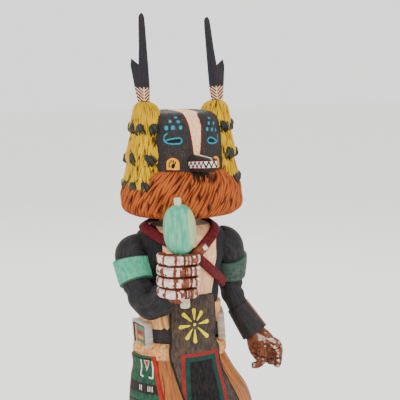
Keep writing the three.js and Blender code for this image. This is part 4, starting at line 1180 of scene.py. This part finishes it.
def makePlaques():
    belt, thickness = hips["belt"], plaques["thickness"]
    halfWidth, halfHeight = plaques["width"] / 2, plaques["height"] / 2
    a, b, middle = belt["hips"]
    lean = math.radians(belt["tilt"])
    # Rings up the rim, and then ever smaller ones over the face
    depth, inset = np.array(plaques["rim"]).T
    shares = np.linspace(1, 0.02, 42)[1:]
    scale = np.append(np.ones(len(depth)), shares)[:, None]
    depth = np.append(depth, 0 * shares + thickness)[:, None]
    inset = np.append(inset, 0 * shares + inset[-1])[:, None]
    u, v = superellipse(circle(160), (halfWidth - inset) * scale, (halfHeight - inset) * scale, 12)
    within = boxField(u, v, halfWidth - plaques["border"], halfHeight - plaques["border"], 0.8)
    depth = depth - plaques["sunk"] * ease(-0.2, 0.3, within) * (scale < 1)
    shown = np.where(scale < 1, 0, unpainted)    # nothing is painted on the rim
    for name, degrees in plaques["facing"].items():
        facing = math.radians(degrees)
        out = belt["relief"] + plaques["proud"] - thickness + depth
        x, y = turned(u, -out, facing)
        x, z = turned(x, v, lean)
        outX, outY = middle + math.sin(facing) * a, -math.cos(facing) * b
        grid = spread(x + outX, y + outY, z + belt["middle"] + outX * math.tan(lean))
        front = -sides[name]    # bars run the same way on both, seen from ahead
        bar = lambda height: overlap(boxField(u * front - 1.4, v - height, 4.4, 1, 0.3), shown + 1)
        tan = overlap(boxField(u * front + 5.7, v, 1.2, halfHeight - 3, 0.3), shown + 1)
        look = {**plaques["look"], **(plaques["leftPaintedShade"] if name == "left" else {})}
        material = painted(f"{name}PlaquePaint", look, [
            ("inlay", "inlay", 1), ("frame", "ink", 0.5), ("greenBar", "green", 1), ("redBar", "red", 1),
            ("yellowBar", "yellow", 1), ("tanBar", "tan", 1)])
        form = Form(grid, flow=spread(u, v, 0), frame=overlap(0.5 - np.abs(within), shown + 0.5),
                    inlay=overlap(within - 0.2, shown + 1), greenBar=union(bar(4.3), bar(-4.4)),
                    redBar=bar(1.4), yellowBar=bar(-1.5), tanBar=tan)
        addPiece(f"{name}Plaque", [form], material, "silver_paint", f"{name}_belt_plaque")


# Base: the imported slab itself, with oiled grain along its width
base = {"dark": "#5c3a22", "light": "#8d6240", "pore": "#3a2415", "rough": 0.5, "gloss": 0.35}


def makeBase():
    shader = Shader("baseWood", **{"Specular IOR Level": base["gloss"]})
    grain = shader.noise(shader.place((0.12, 1, 1)), 3.2, 5, 0.6)
    rings = shader.noise(shader.place((0.03, 0.6, 0.6)), 7, 2)
    pores = shader.noise(shader.place((0.1, 1.6, 1.6)), 0.7, 3)
    streaks = shader.range(grain * 0.6 + rings * 0.4, 0.36, 0.64)
    color = shader.mix(streaks, paint(base["dark"]), paint(base["light"]))
    color = shader.mix(shader.range(pores, 0.62, 0.72), color, paint(base["pore"]))
    rough = shader.range(pores, 0.3, 0.7, base["rough"] - 0.06, base["rough"] + 0.12)
    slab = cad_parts["base"]
    slab.data.materials.clear()
    slab.data.materials.append(shader.finish(color, rough, shader.bump(grain * 0.3 + pores * 0.7, 0.25)))
    print("base: wood finish on the packed slab")


# Floor, soft lights and the camera at the photo's angle. A light is its place and size in m and its
# power; the view is azimuth, elevation, distance in m and the width in m seen at the target.
stage = {
    "floor": "#fbfaf8", "floorHalf": 4, "world": 1.6, "worldColor": (1, 0.99, 0.98, 1),
    "lights": {
        "key": ((-0.7, -1.1, 1.1), 0.7, 13), "fill": ((1.0, -0.9, 0.6), 0.9, 3),
        "rim": ((0.3, 1.0, 1.0), 0.7, 5),
    },
    "target": (0.01066, -0.00431, 0.2448), "azimuth": -22, "elevation": 8, "distance": 0.8, "seen": 0.2424,
    "sensor": 36,
}


def makeStage():
    half = stage["floorHalf"]
    mesh = bpy.data.meshes.new("floor")
    mesh.from_pydata([(-half, -half, 0), (half, -half, 0), (half, half, 0), (-half, half, 0)], [],
                     [(0, 1, 2, 3)])
    shader = Shader("floorPaint", **{"Base Color": paint(stage["floor"]), "Roughness": 0.8})
    mesh.materials.append(shader.material)
    floor = bpy.data.objects.new("floor", mesh)
    bpy.context.scene.collection.objects.link(floor)
    world = bpy.data.worlds.new("studio")
    bpy.context.scene.world = world
    world.use_nodes = True
    background = world.node_tree.nodes["Background"]
    background.inputs["Color"].default_value = stage["worldColor"]
    background.inputs["Strength"].default_value = stage["world"]
    target = Vector(stage["target"])
    for name, (place, size, energy) in stage["lights"].items():
        light = bpy.data.lights.new(name, "AREA")
        light.size, light.energy = size, energy
        lamp = bpy.data.objects.new(name, light)
        lamp.location = place
        lamp.rotation_euler = (target - Vector(place)).to_track_quat("-Z", "Y").to_euler()
        bpy.context.scene.collection.objects.link(lamp)
    camera = bpy.data.objects.new("camera", bpy.data.cameras.new("camera"))
    azimuth, elevation = math.radians(stage["azimuth"]), math.radians(stage["elevation"])
    level = math.cos(elevation)
    back = Vector((math.sin(azimuth) * level, -math.cos(azimuth) * level, math.sin(elevation)))
    camera.location = target + back * stage["distance"]
    camera.rotation_euler = (-back).to_track_quat("-Z", "Y").to_euler()
    camera.data.sensor_width = stage["sensor"]
    camera.data.lens = stage["sensor"] * stage["distance"] / stage["seen"]
    camera.data.clip_start = 0.05
    bpy.context.scene.collection.objects.link(camera)
    bpy.context.scene.camera = camera
    print("stage: floor, lights and camera")


for step in (makeMask, makeRuff, makeTrunk, makeStrap, makeArms, makeHands, makeHips, makeKilt,
             makeApron, makeSash, makeLegs, makeSnout, makeBundles, makeFeathers, makeRattle,
             makePlaques, makeBase, makeStage):
    step()
